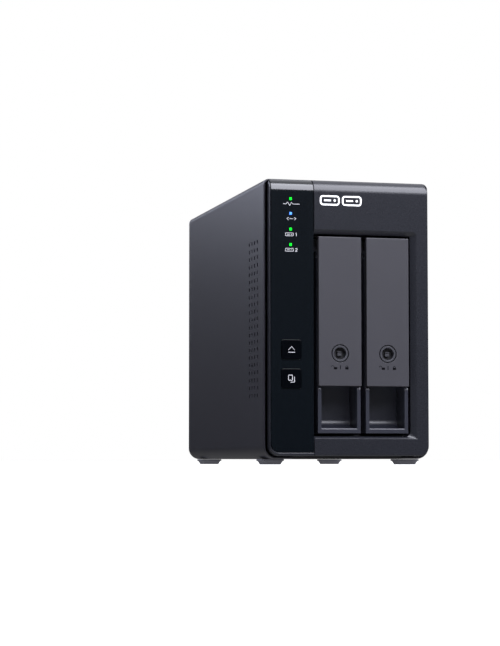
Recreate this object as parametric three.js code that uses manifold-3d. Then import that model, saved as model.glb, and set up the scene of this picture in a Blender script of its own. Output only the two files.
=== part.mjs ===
// A two-bay desktop drive enclosure: a moulded front with two lever-handled drive trays and a gloss
// status panel, a wrap-round cover with vented sides, and a drive cage, boards and fan inside.
// Millimetres, +Z up, +X to the right of someone facing the front, and the front faces -Y.
// Depths (y) are measured back from the front face; the assembly is shifted once, at the end, so
// that the origin is at the middle of the footprint, on the surface that the feet stand on.
import * as THREE from "three";
import { mergeVertices } from "three/addons/utils/BufferGeometryUtils.js";
import Module from "manifold-3d";

const wasm = await Module();
wasm.setup();

// ---- driving dimensions ----
const WIDTH = 102;
const HEIGHT = 168.5;
const DEPTH = 219;
const GAP = 0.3; // clearance between pieces that touch on the real object
const HANDLE_PROUD = 1.2; // how far the tray handles stand in front of the front face
const SCREW_PROUD = 5.8; // how far the cover screws stand behind the cover

// cover and front
const CASE_BOTTOM = 3.3;
const CASE_TOP_RADIUS = 3.5;
const CASE_BOTTOM_RADIUS = 7.5;
const COVER_FRONT = 6.4;
const COVER_REAR = DEPTH - HANDLE_PROUD - SCREW_PROUD;
const COVER_WALL = 2;
const COVER_LIP_X = 34; // the cover turns in under the case as far as this
const BEZEL_INSET = 1.75;
const BEZEL_TOP_INSET = 0.8;
const BEZEL_CURVE = 7; // radius of the front face's roll back into the top
const BEZEL_BODY = 5;
const BEZEL_REAR = 13;
const BEZEL_WALL = 2.6;
const NECK_INSET = 1.7; // the bezel's rear part steps in by this, which leaves the shadow groove
const NECK_WALL = 1.6;
const EDGE_ROUND = 1.2;

// bay opening and trays
const BAY = { left: -22, right: 37.9, bottom: 16.5, top: 135.9 };
const BAY_FLARE = { right: 42.1, bottom: 15.6, top: 138.5, depth: 2 };
const COLLAR_WALL = 1.2;
const COLLAR_REAR = 12;
const TRAY_CENTRES = [-6.4, 23];
const TRAY_WIDTH = 26.1;
const TRAY_BOTTOM = 18.4;
const TRAY_TOP = 134.1;
const TRAY_FACE = 1; // depth of the face of the tray's lower front
const TRAY_WALL = 2.1;
const TRAY_FRONT_REAR = 19.3; // depth of the back of the tray's front block
const TRAY_REAR = 167;
const RAIL = 3.4;
const RECESS = { lip: 21.4, top: 57.6, back: 16.6, floorRear: 24.2, fillet: 2.5 };
const LIP_EDGE = { deep: 0.8, tall: 0.5 }; // the flat that breaks the recess's front lip
const CEILING = { front: 6, thick: 1.6 };
const TAB_TOP = 45.5; // the tray's side walls step back here, under the handle
const WINDOWS = { first: 66, pitch: 18, height: 13, halfWidth: 8, count: 3 };

// tray handle, its hinge and its lock
const HANDLE_BOTTOM = 46.1;
const HANDLE_BACK = 2.5;
const HANDLE_EDGE = { bottom: 0.5, top: 0.8 };
const HINGE_Y = 5;
const HINGE_Z = 123.5;
const HINGE_PIN_R = 1.2;
const HINGE_PIN_LENGTH = 25.2;
const HINGE_HOLE_R = 1.6;
const HINGE_CLEAR = 2.1; // the handle's back sweeps past the side walls outside this radius
const LUG_R = 2.2;
const LUG_X = [6, 9.6];
const SWING_TOP = 126; // the tray's side walls end here, so that the handle's top can swing in
const SWING_REAR = 13.5;
const WALL_FRONT = HANDLE_BACK + 0.4; // the side walls' front edge, behind the handle
const LOCK_Z = 65.2;
const LOCK_R = 5.05;
const LOCK_HOLE_R = 5.4;
const KEYWAY_R = 3.6;
const KEYWAY_DEPTH = 3;
const KEY_POST = { size: 3.4, set: 0.8 };
const CAM = { rear: 10, thick: 2.2, back: 2.5, reach: 9, height: 5 };

// drives, 3.5 inch, standing on edge
const DRIVE = { thick: 26.1, tall: 101.6, long: 147 };
const DRIVE_FRONT = TRAY_FRONT_REAR + GAP;
const DRIVE_POCKET = { deep: 3.2, front: 62, margin: 8 };
const CLIP = { halfWidth: 8, span: [40, 150] };

// cage and boards
const CAGE_FRONT = BEZEL_REAR + GAP;
const CAGE_REAR = 171.5;
const CAGE_SHEET = 1.2;
const CAGE_X = [-24.2, 7.7, 38.4]; // left faces of the three upright sheets
const GUIDE = { thick: 3.2, lowerTop: 17.7, upperBottom: 134.7, left: -24.6, right: 40 };
const BOARD = 1.6;
const BACKPLANE = { x: [-31.8, GUIDE.right], y: 172, z: [10, 142] };
const MAIN_BOARD = { x: -34, y: [26, 200], z: [22, 150] };
const FRONT_BOARD = { x: [-45, -25.2], y: 14.6, z: [38, 162] };
const CHIP = { rise: 2.3, y: [95, 109], z: [85, 99] };
const HEATSINK = { x: [-46.5, -36.9], y: [90, 114], z: [80, 104], base: 2.5, fin: 1.6, fins: 5 };
const CONNECTOR = { left: -10.5, right: -3.5, z: [42, 84] }; // sideways from a tray's centre
const RIBBON = { thick: 0.6, tall: 16, bottom: 96 };
const FAN_CABLE_R = 1.2;
const BASE_BOTTOM = CASE_BOTTOM + COVER_WALL + GAP;
const BASE_TOP = BASE_BOTTOM + 1.5;
const BASE_HALF_WIDTH = 43;

// status panel and its buttons
const PANEL = { left: -47.9, right: -22.2, bottom: 7.3, corner: 5, thick: 1.4 };
const LAMP_X = -36.1;
const LAMPS = [
  { name: "status_lens", z: 156.1, color: 0x00e000 },
  { name: "link_lens", z: 147.4, color: 0x3c8cff },
  { name: "disk_1_lens", z: 138.1, color: 0x00e000 },
  { name: "disk_2_lens", z: 129, color: 0x00e000 },
];
const LAMP_SIZE = [2.2, 1.9];
const LAMP_PROUD = 0.1;
const BUTTON_X = -35.8;
const BUTTONS = [
  { name: "eject", z: 67.2 },
  { name: "copy", z: 50.2 },
];
const BUTTON_SIZE = [12, 11.5];
const BUTTON_CORNER = 1.2;
const BUTTON_TRAVEL = 1;
const BUTTON_PROUD = 0.2;
const BUTTON_DEPTH = 3.4;
const BUTTON_STEM_R = 2;
const SWITCH = { half: 3, body: 2.9, plunger: 3.5, plungerR: 1.6 }; // heights off the front board

// side vents: rows and columns of small slots near the front of each side
const VENT = { firstY: 21.4, pitchY: 6.5, columns: 4, firstZ: 41, pitchZ: 4.57, rows: 21, size: [2, 2.3] };

// rear
const REAR_SHEET = 1.6;
const REAR_FACE = COVER_REAR - 0.8;
const REAR_SLOTS = { first: 26, pitch: 8, count: 5, size: [52, 3], corner: 1.4 };
const PORT_CLEARANCE = 0.8;
const FAN = { x: 8, z: 104, size: 60, depth: 20, bore: 28.6, hub: 12, corner: 4 };
const FAN_REAR = REAR_FACE - REAR_SHEET - GAP;
const FAN_HOLE_X = 25; // the fixing holes stand this far out from the fan's centre, each way
const STRUTS = { count: 3, width: 2.6, thick: 2.6 };
const ROTOR = { front: 1.5, rear: 3.4, tipGap: 1.4 };
const BLADES = { count: 7, thick: 1.3, chord: 15, root: 1.5, twist: Math.PI / 4.2 };
const GUARD_RINGS = [10, 19, 28];
const GUARD_WIRE = 1.4;
const GUARD_EYE = { r: 3.2, thick: 2.2 };
const POWER_BUTTON = { x: -40, z: 151, r: 3.1, deep: 5, proud: 1.9 };
const DIP = { x: -37.3, z: 118, width: 6.2, deep: 5, pitch: 2.54, margin: 2, count: 3 };
const DIP_HEIGHT = DIP.count * DIP.pitch + DIP.margin;
const DIP_SLOT = { halfWidth: 2.2, halfTall: 0.95, deep: 2.6 };
const DIP_LEVER = { left: -1.8, right: -0.2, halfTall: 0.6, deep: 2.2, proud: 0.6 };
const USB_PORT = { x: -35.9, z: 92, size: [3.2, 9], corner: 1.5, wall: 0.35, deep: 8.6, proud: 0.5 };
const USB_MOUTH_DEPTH = 6.5;
const USB_TONGUE = { halfThick: 0.35, halfTall: 3.3, set: 0.8 };
const POWER_JACK = { x: -38.9, z: 68, size: 9.2, deep: 14, bore: 3.1, boreDepth: 9.5, proud: 0.3 };
const JACK_PIN = { r: 1.05, set: 1 };
const LOCK_SLOT = { x: -39, z: 40, size: [3, 7], corner: 0.8 };
const SCREW = { headR: 4.2, shankR: 1.5, holeR: 1.9, reach: 6 };
const COVER_SCREWS = [
  [-43.5, 161],
  [43.5, 161],
  [43.5, 14],
];
const FOOT = { x: 42, front: 26, rear: 188, top: 14, bottom: 10.7, height: 3 };

// ---- materials ----
const material = (color, roughness, metalness = 0) =>
  new THREE.MeshStandardMaterial({ color, roughness, metalness });
const coverPaint = material(0x38383e, 0.5);
const bezelPlastic = material(0x30323a, 0.4);
const glossPlastic = material(0x12161d, 0.08);
const trayPlastic = material(0x3a3c46, 0.55);
const handlePlastic = material(0x504f58, 0.6);
const buttonPlastic = material(0x0a0b10, 0.25);
const blackPlastic = material(0x17181b, 0.6);
const steel = material(0xa9abad, 0.35, 1);
const darkSteel = material(0x55575a, 0.45, 1);
const aluminium = material(0xb6b8ba, 0.4, 1);
const board = material(0x14502e, 0.5);
const chipPlastic = material(0x15161a, 0.4);
const footRubber = material(0x3a3a40, 0.85);

// ---- solids ----
// A closed three.js geometry as a solid that can be joined and cut.
function solid(geometry) {
  const faces = geometry.index ? geometry.toNonIndexed() : geometry;
  const plain = new THREE.BufferGeometry();
  plain.setAttribute("position", faces.getAttribute("position"));
  const merged = mergeVertices(plain, 1e-3);
  return new wasm.Manifold(
    new wasm.Mesh({
      numProp: 3,
      vertProperties: merged.attributes.position.array,
      triVerts: new Uint32Array(merged.index.array),
    }),
  );
}

const join = (parts) => parts.reduce((whole, part) => whole.add(part));
const cutAll = (body, cutters) => cutters.reduce((rest, cutter) => rest.subtract(cutter), body);

function mesh(name, body, look) {
  const made = body.getMesh();
  const geometry = new THREE.BufferGeometry();
  geometry.setAttribute("position", new THREE.BufferAttribute(made.vertProperties, 3));
  geometry.setIndex(new THREE.BufferAttribute(made.triVerts, 1));
  geometry.computeVertexNormals();
  const piece = new THREE.Mesh(geometry, look);
  piece.name = name;
  return piece;
}

// A box between two x, two y and two z values.
function box([x0, x1], [y0, y1], [z0, z1]) {
  const geometry = new THREE.BoxGeometry(x1 - x0, y1 - y0, z1 - z0);
  geometry.translate((x0 + x1) / 2, (y0 + y1) / 2, (z0 + z1) / 2);
  return solid(geometry);
}

// A round bar along y (or x) between two depths.
function barY(x, z, r, [y0, y1], sides = 24) {
  const geometry = new THREE.CylinderGeometry(r, r, y1 - y0, sides);
  geometry.translate(x, (y0 + y1) / 2, z);
  return solid(geometry);
}

function barX(y, z, r, [x0, x1], sides = 12) {
  const geometry = new THREE.CylinderGeometry(r, r, x1 - x0, sides);
  geometry.rotateZ(Math.PI / 2);
  geometry.translate((x0 + x1) / 2, y, z);
  return solid(geometry);
}

// A rectangle in x and z with a radius at each corner: bottom left, bottom right, top right, top left.
function roundedOutline([x0, x1], [z0, z1], [bl, br, tr, tl]) {
  const outline = new THREE.Shape();
  outline.moveTo(x0 + bl, z0);
  outline.lineTo(x1 - br, z0);
  outline.absarc(x1 - br, z0 + br, br, -Math.PI / 2, 0, false);
  outline.lineTo(x1, z1 - tr);
  outline.absarc(x1 - tr, z1 - tr, tr, 0, Math.PI / 2, false);
  outline.lineTo(x0 + tl, z1);
  outline.absarc(x0 + tl, z1 - tl, tl, Math.PI / 2, Math.PI, false);
  outline.lineTo(x0, z0 + bl);
  outline.absarc(x0 + bl, z0 + bl, bl, Math.PI, 1.5 * Math.PI, false);
  return outline;
}

// An outline in x and z, extruded along y; bevel rounds both ends inwards.
function prismY(outline, [y0, y1], { bevel = 0, segments = 5 } = {}) {
  const geometry = new THREE.ExtrudeGeometry(outline, {
    depth: y1 - y0 - 2 * bevel,
    curveSegments: segments,
    bevelEnabled: bevel > 0,
    bevelThickness: bevel,
    bevelSize: bevel,
    bevelOffset: -bevel,
    bevelSegments: 2,
  });
  const turn = new THREE.Matrix4().makeBasis(
    new THREE.Vector3(1, 0, 0),
    new THREE.Vector3(0, 0, 1),
    new THREE.Vector3(0, -1, 0),
  );
  geometry.applyMatrix4(turn);
  geometry.translate(0, y1 - bevel, 0);
  return solid(geometry);
}

// An outline in y and z, extruded along x.
function prismX(outline, [x0, x1], segments = 5) {
  const geometry = new THREE.ExtrudeGeometry(outline, {
    depth: x1 - x0,
    curveSegments: segments,
    bevelEnabled: false,
  });
  const turn = new THREE.Matrix4().makeBasis(
    new THREE.Vector3(0, 1, 0),
    new THREE.Vector3(0, 0, 1),
    new THREE.Vector3(1, 0, 0),
  );
  geometry.applyMatrix4(turn);
  geometry.translate(x0, 0, 0);
  return solid(geometry);
}

const polygon = (points) => new THREE.Shape(points.map(([a, b]) => new THREE.Vector2(a, b)));

// A box whose two end rectangles differ, for flared openings and tapered feet. It runs along y, or
// up along z; a rectangle is [left, right, low, high] seen from its own end.
function taper(first, last, [from, to], upright = false) {
  const geometry = new THREE.BoxGeometry(1, 1, 1);
  const place = geometry.getAttribute("position");
  for (let i = 0; i < place.count; i++) {
    const atFirst = place.getY(i) < 0;
    const [left, right, low, high] = atFirst ? first : last;
    const across = place.getX(i) < 0 ? left : right;
    const up = place.getZ(i) < 0 ? low : high;
    const along = atFirst ? from : to;
    place.setXYZ(i, across, upright ? -up : along, upright ? along : up);
  }
  return solid(geometry);
}

const square = (x, y, size) => [x - size / 2, x + size / 2, y - size / 2, y + size / 2];

// ---- cover and base ----
// The case's cross-section, drawn in by an inset all round.
function caseOutline(inset) {
  const bottomRadius = Math.max(CASE_BOTTOM_RADIUS - inset, 0.5);
  const topRadius = Math.max(CASE_TOP_RADIUS - inset, 0.5);
  return roundedOutline(
    [-WIDTH / 2 + inset, WIDTH / 2 - inset],
    [CASE_BOTTOM + inset, HEIGHT - inset],
    [bottomRadius, bottomRadius, topRadius, topRadius],
  );
}

function ventSlots() {
  const [long, tall] = VENT.size;
  const slots = [];
  for (let column = 0; column < VENT.columns; column++) {
    const y = VENT.firstY + column * VENT.pitchY;
    for (let row = 0; row < VENT.rows; row++) {
      const z = VENT.firstZ + row * VENT.pitchZ;
      slots.push(
        box([-WIDTH, WIDTH], [y - long / 2, y + long / 2], [z - tall / 2, z + tall / 2]),
      );
    }
  }
  return slots;
}

function outerCover() {
  const rounded = prismY(caseOutline(0), [COVER_FRONT, COVER_REAR + 10], { bevel: COVER_WALL });
  const trimmed = rounded.subtract(
    box([-WIDTH, WIDTH], [COVER_REAR, COVER_REAR + 20], [0, HEIGHT + 10]),
  );
  const hollow = prismY(caseOutline(COVER_WALL), [COVER_FRONT - 5, COVER_REAR + 5]);
  const underside = box(
    [-COVER_LIP_X, COVER_LIP_X],
    [COVER_FRONT - 5, COVER_REAR + 5],
    [0, CASE_BOTTOM + COVER_WALL + 1],
  );
  return cutAll(trimmed, [hollow, underside, ...ventSlots()]);
}

// The base plate rests on the cover's lips, and its lower step closes the case between them.
function basePlate() {
  const inside = [BEZEL_REAR + GAP, REAR_FACE - REAR_SHEET - GAP];
  const stepHalf = COVER_LIP_X - GAP;
  return join([
    box([-BASE_HALF_WIDTH, BASE_HALF_WIDTH], inside, [BASE_BOTTOM, BASE_TOP]),
    box([-stepHalf, stepHalf], inside, [CASE_BOTTOM, BASE_TOP]),
    box([-stepHalf, stepHalf], [COVER_FRONT, COVER_REAR], [CASE_BOTTOM, CASE_BOTTOM + COVER_WALL]),
  ]);
}

const foot = (x, y) =>
  taper(square(x, -y, FOOT.bottom), square(x, -y, FOOT.top), [0, FOOT.height], true);

// ---- front bezel and status panel ----
function bezelOutline(inset) {
  const side = WIDTH / 2 - BEZEL_INSET - inset;
  const bottomRadius = Math.max(CASE_BOTTOM_RADIUS - BEZEL_INSET - inset, 0.5);
  const topRadius = Math.max(CASE_TOP_RADIUS - inset, 0.5);
  return roundedOutline(
    [-side, side],
    [CASE_BOTTOM + BEZEL_INSET + inset, HEIGHT - BEZEL_TOP_INSET - inset],
    [bottomRadius, bottomRadius, topRadius, topRadius],
  );
}

// Everything behind the front face's side-on curve, drawn in by an inset.
function behindFace(inset) {
  const top = HEIGHT - BEZEL_TOP_INSET - inset;
  const radius = BEZEL_CURVE - inset;
  const outline = new THREE.Shape();
  outline.moveTo(inset, -10);
  outline.lineTo(COVER_REAR, -10);
  outline.lineTo(COVER_REAR, top);
  outline.lineTo(inset + radius, top);
  outline.absarc(inset + radius, top - radius, radius, Math.PI / 2, Math.PI, false);
  return prismX(outline, [-WIDTH, WIDTH]);
}

function bezelBody() {
  const body = prismY(bezelOutline(0), [0, BEZEL_BODY + 4], { bevel: EDGE_ROUND });
  const behind = box([-WIDTH, WIDTH], [BEZEL_BODY, BEZEL_BODY + 20], [0, HEIGHT + 10]);
  return body.subtract(behind).intersect(behindFace(0));
}

// The region that the status panel fills, grown by a clearance.
function panelSlab(clearance) {
  const corner = PANEL.corner + clearance;
  return prismY(
    roundedOutline(
      [PANEL.left - clearance, PANEL.right + clearance],
      [PANEL.bottom - clearance, HEIGHT + 10],
      [corner, 0.5, 0.5, 0.5],
    ),
    [-5, BEZEL_BODY + 1],
  );
}

function lampHoles(clearance) {
  const [wide, tall] = LAMP_SIZE.map((size) => size / 2 + clearance);
  return LAMPS.map(({ z }) =>
    box([LAMP_X - wide, LAMP_X + wide], [-5, BEZEL_REAR + 5], [z - tall, z + tall]),
  );
}

function buttonOutline(z, clearance) {
  const [wide, tall] = BUTTON_SIZE.map((size) => size / 2 + clearance);
  const corner = BUTTON_CORNER + clearance;
  return roundedOutline(
    [BUTTON_X - wide, BUTTON_X + wide],
    [z - tall, z + tall],
    [corner, corner, corner, corner],
  );
}

const buttonHoles = () =>
  BUTTONS.map(({ z }) => prismY(buttonOutline(z, GAP), [-5, BEZEL_REAR + 5], { segments: 2 }));

function frontBezel() {
  const neck = prismY(bezelOutline(NECK_INSET), [BEZEL_BODY - 1, BEZEL_REAR]);
  const shell = bezelBody().add(neck.intersect(behindFace(0)));
  const hollow = prismY(bezelOutline(NECK_INSET + NECK_WALL), [BEZEL_WALL, BEZEL_REAR + 5])
    .intersect(behindFace(BEZEL_WALL));
  const collar = box(
    [BAY.left - COLLAR_WALL, BAY.right + COLLAR_WALL],
    [BEZEL_WALL - 0.5, COLLAR_REAR],
    [BAY.bottom - COLLAR_WALL, BAY.top + COLLAR_WALL],
  );
  const opening = box([BAY.left, BAY.right], [-5, BEZEL_REAR + 5], [BAY.bottom, BAY.top]);
  const flare = taper(
    [BAY.left, BAY_FLARE.right, BAY_FLARE.bottom, BAY_FLARE.top],
    [BAY.left, BAY.right, BAY.bottom, BAY.top],
    [0, BAY_FLARE.depth],
  );
  const lead = box(
    [BAY.left, BAY_FLARE.right],
    [-1, 0.001],
    [BAY_FLARE.bottom, BAY_FLARE.top],
  );
  const pocket = panelSlab(GAP).subtract(behindFace(PANEL.thick + GAP));
  return cutAll(shell.subtract(hollow).add(collar), [
    opening,
    flare,
    lead,
    pocket,
    ...lampHoles(GAP),
    ...buttonHoles(),
  ]);
}

function statusPanel() {
  const skin = bezelBody().intersect(panelSlab(0)).subtract(behindFace(PANEL.thick));
  return cutAll(skin, [...lampHoles(GAP), ...buttonHoles()]);
}

function lamp(z) {
  const [wide, tall] = LAMP_SIZE.map((size) => size / 2);
  const rear = FRONT_BOARD.y - 1;
  return box([LAMP_X - wide, LAMP_X + wide], [-LAMP_PROUD, rear], [z - tall, z + tall]);
}

function panelButton(z) {
  const cap = prismY(buttonOutline(z, 0), [-BUTTON_PROUD, BUTTON_DEPTH], { segments: 2 });
  const stemRear = FRONT_BOARD.y - SWITCH.plunger - BUTTON_TRAVEL - GAP;
  return cap.add(barY(BUTTON_X, z, BUTTON_STEM_R, [BUTTON_DEPTH - 0.4, stemRear], 12));
}

function buttonSwitch(z) {
  const { half, body, plunger, plungerR } = SWITCH;
  const housing = box(
    [BUTTON_X - half, BUTTON_X + half],
    [FRONT_BOARD.y - body, FRONT_BOARD.y - GAP],
    [z - half, z + half],
  );
  const pressed = [FRONT_BOARD.y - plunger, FRONT_BOARD.y - body + 0.1];
  return housing.add(barY(BUTTON_X, z, plungerR, pressed, 12));
}

// ---- drive cage ----
const cageSheet = (x) =>
  box(
    [x, x + CAGE_SHEET],
    [CAGE_FRONT, CAGE_REAR],
    [GUIDE.lowerTop + GAP, GUIDE.upperBottom - GAP],
  );

function upperGuide() {
  return box(
    [GUIDE.left, GUIDE.right],
    [CAGE_FRONT, CAGE_REAR],
    [GUIDE.upperBottom, GUIDE.upperBottom + GUIDE.thick],
  );
}

// The lower guide stands on the base plate on three long legs.
function lowerGuide() {
  const bottom = GUIDE.lowerTop - GUIDE.thick;
  const shelf = box([GUIDE.left, GUIDE.right], [CAGE_FRONT, CAGE_REAR], [bottom, GUIDE.lowerTop]);
  const legs = CAGE_X.map((x) =>
    box([x, x + CAGE_SHEET], [CAGE_FRONT, CAGE_REAR], [BASE_TOP + GAP, bottom + 0.5]),
  );
  return join([shelf, ...legs]);
}

// ---- boards ----
const frontBoard = () =>
  box(FRONT_BOARD.x, [FRONT_BOARD.y, FRONT_BOARD.y + BOARD], FRONT_BOARD.z);

const mainBoard = () => box([MAIN_BOARD.x, MAIN_BOARD.x + BOARD], MAIN_BOARD.y, MAIN_BOARD.z);

const backplane = () => box(BACKPLANE.x, [BACKPLANE.y, BACKPLANE.y + BOARD], BACKPLANE.z);

const controllerChip = () =>
  box([MAIN_BOARD.x - GAP - CHIP.rise, MAIN_BOARD.x - GAP], CHIP.y, CHIP.z);

const sataConnector = (centre) =>
  box(
    [centre + CONNECTOR.left, centre + CONNECTOR.right],
    [DRIVE_FRONT + DRIVE.long + GAP, BACKPLANE.y - GAP],
    CONNECTOR.z,
  );

function heatsink() {
  const [tip, root] = HEATSINK.x;
  const [front, rear] = HEATSINK.y;
  const base = box([root - HEATSINK.base, root], HEATSINK.y, HEATSINK.z);
  const pitch = (rear - front - HEATSINK.fin) / (HEATSINK.fins - 1);
  const fins = Array.from({ length: HEATSINK.fins }, (_, i) => {
    const y = front + i * pitch;
    return box([tip, root - HEATSINK.base / 2], [y, y + HEATSINK.fin], HEATSINK.z);
  });
  return join([base, ...fins]);
}

// A flat flexible cable from the front board back to the main board, seen from above as an S.
function frontRibbon() {
  const start = -41;
  const end = MAIN_BOARD.x - 2.4;
  const inner = [
    [start, FRONT_BOARD.y + BOARD + GAP],
    [start, 24],
    [end, 27],
    [end, 40],
  ];
  const outer = inner.map(([x, y]) => [x + RIBBON.thick, y]).reverse();
  const geometry = new THREE.ExtrudeGeometry(polygon([...inner, ...outer]), {
    depth: RIBBON.tall,
    bevelEnabled: false,
  });
  geometry.translate(0, 0, RIBBON.bottom);
  return solid(geometry);
}

// A lead that bows across from the fan's side to the main board.
function fanCable() {
  const side = FAN.x - FAN.size / 2 - 2 * GAP;
  const boardFace = MAIN_BOARD.x + BOARD;
  const path = new THREE.CatmullRomCurve3([
    new THREE.Vector3(side, 199, 92),
    new THREE.Vector3(side - 3, 198.5, 91),
    new THREE.Vector3(boardFace + 3, 191.5, 81),
    new THREE.Vector3(boardFace + 2 * GAP, 191, 80.5),
  ]);
  const section = new THREE.Shape();
  section.absarc(0, 0, FAN_CABLE_R, 0, 2 * Math.PI, false);
  return solid(
    new THREE.ExtrudeGeometry(section, {
      steps: 10,
      curveSegments: 4,
      bevelEnabled: false,
      extrudePath: path,
    }),
  );
}

// ---- trays ----
// A side wall, stepped back behind the handle. Its top front corner is cut off at 45 degrees, just
// outside the reach of the handle's back as the handle swings out.
function traySide(x) {
  const reach = Math.SQRT2 * HINGE_CLEAR;
  const outline = polygon([
    [TRAY_FACE, TRAY_BOTTOM],
    [TRAY_FRONT_REAR, TRAY_BOTTOM],
    [TRAY_FRONT_REAR, TRAY_TOP],
    [SWING_REAR, TRAY_TOP],
    [SWING_REAR, SWING_TOP],
    [HINGE_Y + SWING_TOP - HINGE_Z - reach, SWING_TOP],
    [WALL_FRONT, HINGE_Z + WALL_FRONT - HINGE_Y + reach],
    [WALL_FRONT, TAB_TOP],
    [TRAY_FACE, TAB_TOP],
  ]);
  return prismX(outline, [x, x + TRAY_WALL]);
}

// The finger recess: a floor that rises a little to the rear, a concave corner, a back wall that
// carries on up to the tray's top, and a ceiling behind the handle's lower end.
function trayFrontCore(centre) {
  const half = TRAY_WIDTH / 2 - TRAY_WALL / 2;
  const { lip, back, floorRear, fillet } = RECESS;
  const outline = new THREE.Shape();
  outline.moveTo(TRAY_FACE, TRAY_BOTTOM);
  outline.lineTo(TRAY_FRONT_REAR, TRAY_BOTTOM);
  outline.lineTo(TRAY_FRONT_REAR, TRAY_TOP);
  outline.lineTo(back, TRAY_TOP);
  outline.lineTo(back, floorRear + fillet);
  outline.absarc(back - fillet, floorRear + fillet, fillet, 0, -Math.PI / 2, true);
  outline.lineTo(TRAY_FACE + LIP_EDGE.deep, lip);
  outline.lineTo(TRAY_FACE, lip - LIP_EDGE.tall);
  const ceiling = box(
    [centre - half, centre + half],
    [CEILING.front, back + 1],
    [RECESS.top, RECESS.top + CEILING.thick],
  );
  return prismX(outline, [centre - half, centre + half], 4).add(ceiling);
}

function trayFrame(centre) {
  const left = centre - TRAY_WIDTH / 2;
  const right = centre + TRAY_WIDTH / 2;
  const rail = (z) =>
    box([left + 2, right - 2], [TRAY_FRONT_REAR - 1, TRAY_REAR], [z, z + RAIL]);
  const windows = Array.from({ length: WINDOWS.count }, (_, i) => {
    const z = WINDOWS.first + i * WINDOWS.pitch;
    return box(
      [centre - WINDOWS.halfWidth, centre + WINDOWS.halfWidth],
      [RECESS.back - 1, TRAY_FRONT_REAR + 1],
      [z, z + WINDOWS.height],
    );
  });
  const pinHole = barX(HINGE_Y, HINGE_Z, HINGE_HOLE_R, [left - 1, right + 1]);
  const whole = join([
    traySide(left),
    traySide(right - TRAY_WALL),
    trayFrontCore(centre),
    rail(TRAY_BOTTOM),
    rail(TRAY_TOP - RAIL),
  ]);
  return cutAll(whole, [...windows, pinHole]);
}

function trayHandle(centre) {
  const left = centre - TRAY_WIDTH / 2;
  const right = centre + TRAY_WIDTH / 2;
  const plate = prismX(
    polygon([
      [-HANDLE_PROUD + HANDLE_EDGE.bottom, HANDLE_BOTTOM],
      [HANDLE_BACK, HANDLE_BOTTOM],
      [HANDLE_BACK, TRAY_TOP],
      [-HANDLE_PROUD + HANDLE_EDGE.top, TRAY_TOP],
      [-HANDLE_PROUD, TRAY_TOP - HANDLE_EDGE.top],
      [-HANDLE_PROUD, HANDLE_BOTTOM + HANDLE_EDGE.bottom],
    ]),
    [left, right],
  );
  const lugs = [-1, 1].map((side) => {
    const span = LUG_X.map((x) => centre + side * x).sort((a, b) => a - b);
    const web = box(span, [HANDLE_BACK - 0.5, HINGE_Y], [HINGE_Z - LUG_R, HINGE_Z + LUG_R]);
    return web.add(barX(HINGE_Y, HINGE_Z, LUG_R, span, 16));
  });
  return cutAll(join([plate, ...lugs]), [
    barX(HINGE_Y, HINGE_Z, HINGE_HOLE_R, [left - 1, right + 1]),
    barY(centre, LOCK_Z, LOCK_HOLE_R, [-5, 10]),
  ]);
}

// The key lock: a barrel with a round keyway around a square post, and a cam behind it.
function lockCylinder(centre) {
  const face = -HANDLE_PROUD + 0.1;
  const camFront = CAM.rear - CAM.thick;
  const barrel = barY(centre, LOCK_Z, LOCK_R, [face, camFront + 0.2]);
  const keyway = barY(centre, LOCK_Z, KEYWAY_R, [face - 1, face + KEYWAY_DEPTH]);
  const half = KEY_POST.size / 2;
  const post = box(
    [centre - half, centre + half],
    [face + KEY_POST.set, face + KEYWAY_DEPTH + 1],
    [LOCK_Z - half, LOCK_Z + half],
  );
  const cam = box(
    [centre - CAM.back, centre + CAM.reach],
    [camFront, CAM.rear],
    [LOCK_Z - CAM.height / 2, LOCK_Z + CAM.height / 2],
  );
  return barrel.subtract(keyway).add(post).add(cam);
}

const hingePin = (centre) =>
  barX(HINGE_Y, HINGE_Z, HINGE_PIN_R, [
    centre - HINGE_PIN_LENGTH / 2,
    centre + HINGE_PIN_LENGTH / 2,
  ]);

const driveBottom = (TRAY_BOTTOM + TRAY_TOP - DRIVE.tall) / 2;

function driveBody(centre) {
  const left = centre - DRIVE.thick / 2;
  const block = box(
    [left, left + DRIVE.thick],
    [DRIVE_FRONT, DRIVE_FRONT + DRIVE.long],
    [driveBottom, driveBottom + DRIVE.tall],
  );
  const { deep, front, margin } = DRIVE_POCKET;
  const pocket = box(
    [left - 1, left + deep],
    [DRIVE_FRONT + front, DRIVE_FRONT + DRIVE.long + 1],
    [driveBottom + margin, driveBottom + DRIVE.tall - margin],
  );
  return block.subtract(pocket);
}

function driveBoard(centre) {
  const { deep, front, margin } = DRIVE_POCKET;
  const floor = centre - DRIVE.thick / 2 + deep - GAP;
  return box(
    [floor - BOARD, floor],
    [DRIVE_FRONT + front + GAP, DRIVE_FRONT + DRIVE.long - 1],
    [driveBottom + margin + GAP, driveBottom + DRIVE.tall - margin - GAP],
  );
}

// A strip that snaps between a rail and the drive and holds it without screws.
function driveClip(centre, [z0, z1]) {
  return box([centre - CLIP.halfWidth, centre + CLIP.halfWidth], CLIP.span, [z0, z1]);
}

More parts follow.
